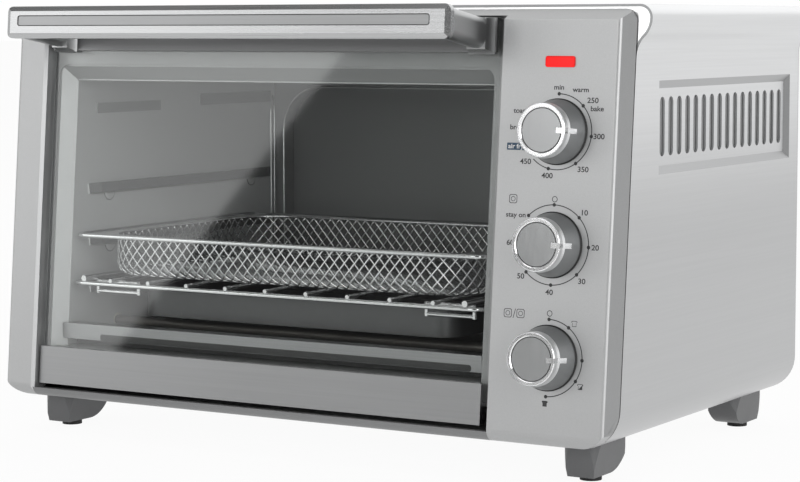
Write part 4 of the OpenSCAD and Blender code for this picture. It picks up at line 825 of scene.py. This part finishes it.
inlay_right, inlay_left = span_along("handle_strip", face_right)
inlay_top, inlay_foot = span_along("handle_strip", face_up)
plate_front = span_along("handle_plate", face_out)[0]
middle = (face_right * (inlay_right + inlay_left) / 2 + face_up * (inlay_top + inlay_foot) / 2
          + face_out * (plate_front + 0.02 * MM))
half = ((inlay_right - inlay_left) / 2, (inlay_top - inlay_foot) / 2)
INLAY_ROUND = 1.2 * MM
inner = rounded_outline(*half, INLAY_ROUND, -0.1 * MM)
outer = rounded_outline(*half, INLAY_ROUND, 0.45 * MM)
groove = bmesh.new()
for i in range(len(inner)):
    j = (i + 1) % len(inner)
    plate(groove, [inner[i], outer[i], outer[j], inner[j]], middle, face_right, face_up,
          face_out, 0.03 * MM)
new_piece("inlay_groove_shade", groove, shade_black, "door")

pane, pane_wire = material("clear_pane")
smudge = spots(pane_wire, 9.0, (1, 1, 1), 4.0)
clear = pane_wire.node("ShaderNodeBsdfTransparent", {}, {"Color": (0.95, 0.96, 0.955, 1)})
gloss = pane_wire.node("ShaderNodeBsdfPrincipled", {}, {
    "Base Color": smudge.shade((0.75, 0.76, 0.76, 1), (0.85, 0.86, 0.86, 1)),
    "Metallic": 1.0,
    "Roughness": 0.03 + smudge * 0.02})
glance = pane_wire.node("ShaderNodeFresnel", {}, {"IOR": 1.8})
entering = 1.0 - pane_wire.node("ShaderNodeNewGeometry", out="Backfacing")
close(pane, pane_wire.node("ShaderNodeMixShader", {}, {0: glance * entering, 1: clear, 2: gloss}))
dress(pane, "door_glass")


# ---------------------------------------------------------------- cavity
# The cooking space: folded sheets with a grey heat-proof skin, a funnel-shaped mouth behind
# the glass, a pressed recess at the back and three pointed rails on each side wall.

def coated(name, colour, rough, metallic=0.25):
    """Sheet with a thin baked coat: almost even, with soft clouds and a fine grain."""
    made, wire = material(name)
    clouds = spots(wire, 14.0, (1, 1, 1), 4.0)
    grain = spots(wire, 900.0, (1, 1, 1), 1.0)
    dark = tuple(value * 0.94 for value in colour) + (1,)
    light = tuple(value * 1.05 for value in colour) + (1,)
    face = wire.node("ShaderNodeBsdfPrincipled", {}, {
        "Base Color": (clouds * 0.7 + grain * 0.3).shade(dark, light),
        "Metallic": metallic,
        "Roughness": rough + (clouds - 0.5) * 0.10 + (grain - 0.5) * 0.05,
        "Normal": bumped(wire, clouds, 0.00005)})
    return close(made, face)


cavity_skin = coated("cavity_skin", (0.31, 0.31, 0.312), 0.40)
dress(cavity_skin, "frame_bottom", "cavity_ceiling", "cavity_floor", "cavity_back_wall")
# The side walls take a copy of the same coat about twice as light as the back, ceiling and floor:
# painted light.
lit_wall_skin = coated("lit_wall_skin", (0.66, 0.66, 0.663), 0.38, 0.35)
dress(lit_wall_skin, "cavity_side_walls")
mouth_skin = coated("mouth_skin", (0.33, 0.33, 0.332), 0.36, 0.5)
dress(mouth_skin, "frame_sides", "frame_top")
# The rails take a darker copy of the coat: painted shade.
rail_shade_skin = coated("rail_shade_skin", (0.16, 0.16, 0.161), 0.42, 0.3)
dress(rail_shade_skin, "rack_supports")

rails_low, rails_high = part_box("rack_supports")
walls_x = (rails_low.x, rails_high.x)
DIMPLE = 5.2 * MM
DIMPLE_DROP = 6.6 * MM
DIMPLE_PITCH = 33.4 * MM
DIMPLE_SPOTS = [(y, rails_high.z - DIMPLE_DROP - row * DIMPLE_PITCH)
                for row in range(2)
                for y in (rails_low.y + 21 * MM, rails_high.y - 24 * MM)]
DIMPLE_RINGS = ((1.0, 0.0), (0.86, 0.75), (0.6, 1.05), (0.0, 1.15))
dimples = bmesh.new()
for side, x in zip((1, -1), walls_x):
    for y, z in DIMPLE_SPOTS:
        rows = []
        for share, rise in DIMPLE_RINGS:
            at = Vector((x + side * rise * MM, y, z))
            rows.append([dimples.verts.new(
                at + Vector((0, -math.cos(math.pi * i / 16), -math.sin(math.pi * i / 16)))
                * DIMPLE * share) for i in range(17 if share else 1)])
        for inner, outer in zip(rows[1:3], rows[:2]):
            for i in range(16):
                dimples.faces.new((outer[i], outer[i + 1], inner[i + 1], inner[i]))
        for i in range(16):
            dimples.faces.new((rows[2][i], rows[2][i + 1], rows[3][0]))
new_piece("wall_dimples", dimples, lit_wall_skin, "oven_body")

NO_STRAND = Vector((0.13, 0.29, 0.95))


def tube(shape, points, radius, sides=5):
    """A round strand along a row of points, none of which runs along NO_STRAND."""
    rings = []
    for i, point in enumerate(points):
        ahead = points[min(i + 1, len(points) - 1)] - points[max(i - 1, 0)]
        ahead.normalize()
        side = ahead.cross(NO_STRAND).normalized()
        other = ahead.cross(side).normalized()
        turns = [2 * math.pi * j / sides for j in range(sides)]
        rings.append([shape.verts.new(point + (side * math.cos(turn) + other * math.sin(turn))
                                      * radius) for turn in turns])
    for near, far in zip(rings, rings[1:]):
        for i in range(sides):
            j = (i + 1) % sides
            shape.faces.new((near[i], near[j], far[j], far[i]))
    shape.faces.new(rings[0][::-1])
    shape.faces.new(rings[-1])


# Bright lines at the folds at the mouth, under the rails and round the recess are painted
# highlights; dark lines down the back corners and round the dimples are painted shade, and two
# plates in the darker coat on each side wall paint the shade of pressed ribs.

fold_highlight = plated("fold_highlight", (0.62, 0.62, 0.622), 0.3)
FOLD = 0.5 * MM
SEAM = 0.9 * MM
THIN_LINE = 0.35 * MM
THICK_LINE = 0.4 * MM
folds = bmesh.new()
shade_seams = bmesh.new()
rib_shades = bmesh.new()
top_in = span_along("frame_top", face_out)[1]
mouth_low = span_along("frame_top", face_up)[1]
slope_end = face_out * (top_in + FOLD) + face_up * (mouth_low + FOLD)
low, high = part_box("cavity_side_walls")
tube(folds, [slope_end + face_right * x for x in (low.x + 2 * MM, high.x - 2 * MM)], FOLD, 8)
back_y = high.y - FOLD
RECESS = ((-170.0, 72.0), (114.0, 210.3))
RECESS_RADIUS = 30.0
middle = Vector((RECESS[0][0] + RECESS[1][0], 0, RECESS[0][1] + RECESS[1][1])) * MM / 2
half = [(far - near) * MM / 2 for near, far in zip(*RECESS)]
brim = [Vector((middle.x + x, back_y, middle.z + z))
        for x, z in rounded_outline(*half, RECESS_RADIUS * MM, FOLD)]
tube(folds, brim + brim[:1], FOLD, 6)
RAIL_FEET = (83.8 * MM, 113.8 * MM, 147.2 * MM)
RAIL_OUT = 3.5 * MM
RAIL_POINT = 9 * MM
LINE_PROUD = 0.3 * MM
TIP_FOLD = Vector((0, -1.0, 6.0)) * MM
CORNER_FOLD = (72 * MM, 195 * MM)
CORNER_SEAM = (66 * MM, 205 * MM)
RIB_SHADES = ((-73, 198.5, -6, 205), (39, 200.5, 124, 208))
for side, x in zip((1, -1), walls_x):
    for foot in RAIL_FEET:
        tip = Vector((x + side * LINE_PROUD, rails_low.y, foot + LINE_PROUD))
        near, far = [Vector((x + side * RAIL_OUT, y, foot + LINE_PROUD))
                     for y in (rails_low.y + RAIL_POINT, rails_high.y - RAIL_POINT)]
        tube(folds, [tip, near, far], THIN_LINE, 6)
        tube(folds, [tip, tip + TIP_FOLD], THICK_LINE, 6)
    for y in (back_y - 4.5 * MM, back_y):
        fold_x = x + side * (back_y - y) * 0.02
        tube(folds, [Vector((fold_x, y, z)) for z in CORNER_FOLD], THICK_LINE, 6)
    tube(shade_seams, [Vector((x + side * 0.2 * MM, back_y - 2.2 * MM, z)) for z in CORNER_SEAM],
         SEAM, 6)
    for y, z in DIMPLE_SPOTS:
        tube(shade_seams, [Vector((x, y - DIMPLE * math.cos(math.pi * i / 12),
                             z - DIMPLE * math.sin(math.pi * i / 12)))
                     for i in range(13)], THIN_LINE, 6)
    for corners in RIB_SHADES:
        plate(rib_shades, rectangle(*[value * MM for value in corners]), Vector((x, 0, 0)), BACK, UP,
              RIGHT * side, 0.5 * MM)
new_piece("fold_highlights", folds, fold_highlight, "oven_body")
new_piece("wall_seam_shades", shade_seams, rail_shade_skin, "oven_body")
new_piece("wall_rib_shades", rib_shades, cavity_skin, "oven_body")


# ---------------------------------------------------------------- heating elements
# Four straight rods in a dark oxidised sheath, carried at the side walls by pale ceramic
# collars, two below the rack and two under the ceiling.

sheath, sheath_wire = material("element_sheath")
bloom = spots(sheath_wire, 55.0, (0.4, 1, 1), 5.0)
close(sheath, sheath_wire.node("ShaderNodeBsdfPrincipled", {}, {
    "Base Color": bloom.shade((0.09, 0.085, 0.08, 1), (0.20, 0.185, 0.17, 1)),
    "Metallic": 0.7,
    "Roughness": 0.45 + (bloom - 0.5) * 0.3,
    "Normal": bumped(sheath_wire, bloom, 0.00004)}))
dress(sheath, "heating_elements")
ceramic = moulded("pale_ceramic", (0.72, 0.70, 0.65), 0.55, 0.0, 0.00005, 500.0)
dress(ceramic, "element_insulators", "lamp_holder")


# ---------------------------------------------------------------- rack, hooks and pan
# A wire rack, bright plated, whose bars lie over a bent frame. Wire hooks under it carry a
# dark coated baking pan by its rim.

wire_bright = plated("wire_bright", (0.80, 0.80, 0.805), 0.18)
dress(wire_bright, "rack_frame", "rack_bars", "pan_hooks", "basket_rim")
pan_skin = moulded("pan_skin", (0.13, 0.13, 0.132), 0.34, 0.75, 0.00002, 400.0)
dress(pan_skin, "baking_pan")


# ---------------------------------------------------------------- air-fry basket
# A basket of woven steel strand, 7 mm from knot to knot, whose walls turn under into the
# floor in one soft bend. It is welded inside the flat rim and the wire loop.

strand_metal = plated("strand_metal", (0.80, 0.80, 0.805), 0.24)
KNOT = 7.0 * MM
KNOT_TALL = 7.6 * MM
STRAND = 0.62 * MM
BEND = 7.0 * MM
CORNER = 31.0 * MM
low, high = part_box("basket_corners")
mid = (low + high) / 2
half_x = (high.x - low.x) / 2 - STRAND / 2
half_y = (high.y - low.y) / 2 - STRAND / 2
top_z = high.z
foot_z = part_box("basket_floor")[0].z + STRAND


def round_outline(share, inset):
    """A point on the basket's rounded outline, share of the way round it, moved in."""
    flat_x = half_x - CORNER
    flat_y = half_y - CORNER
    sides = [2 * flat_x, 2 * flat_y] * 2
    starts = [(-flat_x, -half_y), (half_x, -flat_y), (flat_x, half_y), (-half_x, flat_y)]
    corners = [(flat_x, -flat_y), (flat_x, flat_y), (-flat_x, flat_y), (-flat_x, -flat_y)]
    bend = math.pi * CORNER / 2
    at = (share % 1.0) * (sum(sides) + 4 * bend)
    turn = -math.pi / 2
    for side, start, corner in zip(sides, starts, corners):
        along = Vector((math.cos(turn + math.pi / 2), math.sin(turn + math.pi / 2), 0))
        normal = Vector((math.cos(turn), math.sin(turn), 0))
        if at <= side:
            return Vector((*start, 0)) + along * at - normal * inset
        at -= side
        if at <= bend:
            angle = turn + at / CORNER
            outward = Vector((math.cos(angle), math.sin(angle), 0))
            return Vector((*corner, 0)) + outward * (CORNER - inset)
        at -= bend
        turn += math.pi / 2
    return round_outline(0.0, inset)


def wall_point(share, drop):
    """A point of the wall, drop metres of strand below the rim, round the bend at its foot."""
    straight = top_z - foot_z - BEND
    if drop <= straight:
        point = round_outline(share, 0)
        point.z = top_z - drop
    else:
        angle = min((drop - straight) / BEND, math.pi / 2)
        point = round_outline(share, BEND * (1 - math.cos(angle)))
        point.z = foot_z + BEND * (1 - math.sin(angle))
    return point + Vector((mid.x, mid.y, 0))


round_length = 4 * (half_x + half_y) - (8 - 2 * math.pi) * CORNER
cells = round(round_length / KNOT)
wall_length = top_z - foot_z - BEND + BEND * math.pi / 2
rows = round(wall_length / (KNOT_TALL / 2))
basket = bmesh.new()
for i in range(cells):
    for lean in (0.5, -0.5):
        path = []
        for j in range(2 * rows + 1):
            step = j / 2
            path.append(wall_point((i + lean * step) / cells, wall_length * step / rows))
        tube(basket, path, STRAND)


def inside_floor(x, y):
    """Whether a point lies on the flat part of the floor."""
    wide = half_x - BEND - abs(x)
    deep = half_y - BEND - abs(y)
    radius = CORNER - BEND
    if wide < 0 or deep < 0:
        return False
    in_corner = wide < radius and deep < radius
    return not in_corner or math.hypot(radius - wide, radius - deep) < radius


FLOOR_STEPS = 400
reach = int((half_x + half_y) / KNOT) + 2
for i in range(-reach, reach + 1):
    for lean in (1, -1):
        hits = []
        for j in range(-FLOOR_STEPS, FLOOR_STEPS + 1):
            y = j * half_y / FLOOR_STEPS
            x = i * KNOT + lean * y * KNOT / KNOT_TALL
            if inside_floor(x, y):
                hits.append((x, y))
        if len(hits) > 8:
            ends = [Vector((mid.x + x, mid.y + y, foot_z)) for x, y in (hits[0], hits[-1])]
            tube(basket, ends, STRAND)
mesh_piece = new_piece("basket_mesh", basket, strand_metal, "basket")
for face in mesh_piece.data.polygons:
    face.use_smooth = True
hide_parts("basket_end_walls", "basket_side_walls", "basket_corners",
            "basket_floor")


# ---------------------------------------------------------------- crumb tray
# A shallow aluminium tray that lies loose on the cavity floor. It slides out at the front by
# a folded lip.

tray_metal = brushed("tray_metal", (0.33, 0.33, 0.334), "x", 0.32, 0.06)
dress(tray_metal, "crumb_tray")

# The lip turns back under itself. A black plate along its fold and a black coat on the tray's
# front wall paint the shade of the slot below it.

low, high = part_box("crumb_tray")
SLOT_TOP = 61.5 * MM
SLOT_FOOT = 57.6 * MM
SLOT_FROM, SLOT_TO = -150 * MM, 117 * MM
slot_half = ((SLOT_TO - SLOT_FROM) / 2, (SLOT_TOP - SLOT_FOOT) / 2)
slot_shade = bmesh.new()
plate(slot_shade, rounded_outline(*slot_half, 1.6 * MM, 0),
      Vector(((SLOT_FROM + SLOT_TO) / 2, low.y - 0.01 * MM, (SLOT_TOP + SLOT_FOOT) / 2)),
      RIGHT, UP, -BACK, 0.04 * MM)
new_piece("lip_fold_shade", slot_shade, shade_black, "tray")
overlay("tray_front_shade", "crumb_tray",
        lambda face: face.normal.y < -0.9 and face.calc_center_median().y > low.y + 5 * MM
        and face.calc_center_median().y < low.y + 15 * MM, shade_black, "tray")


# ---------------------------------------------------------------- fan, controls and bell
# Behind the panel and the right wall: a pressed fan with its motor, three switch bodies on
# a bracket, and the brass bell that the timer strikes.

fan_metal = plated("fan_metal", (0.62, 0.62, 0.63), 0.32)
dress(fan_metal, "fan_impeller")
motor_paint = moulded("motor_paint", (0.09, 0.09, 0.10), 0.45, 0.4)
dress(motor_paint, "fan_motor")
control_plastic = moulded("control_plastic", (0.06, 0.06, 0.062), 0.5)
dress(control_plastic, "control_bodies")
bell_brass = plated("bell_brass", (0.75, 0.58, 0.28), 0.25)
dress(bell_brass, "timer_bell")


# ---------------------------------------------------------------- feet and cord inlet
# Four swept feet in dark grey plastic with round rubber pads, and a plain bushing in the
# back cover where the cord would enter.

foot_grey = moulded("foot_grey", (0.115, 0.117, 0.12), 0.42, 0.0, 0.00004)
dress(foot_grey, "feet", "cord_inlet")
pad_rubber = moulded("pad_rubber", (0.02, 0.02, 0.02), 0.8, 0.0, 0.00005, 600.0)
dress(pad_rubber, "foot_pads")
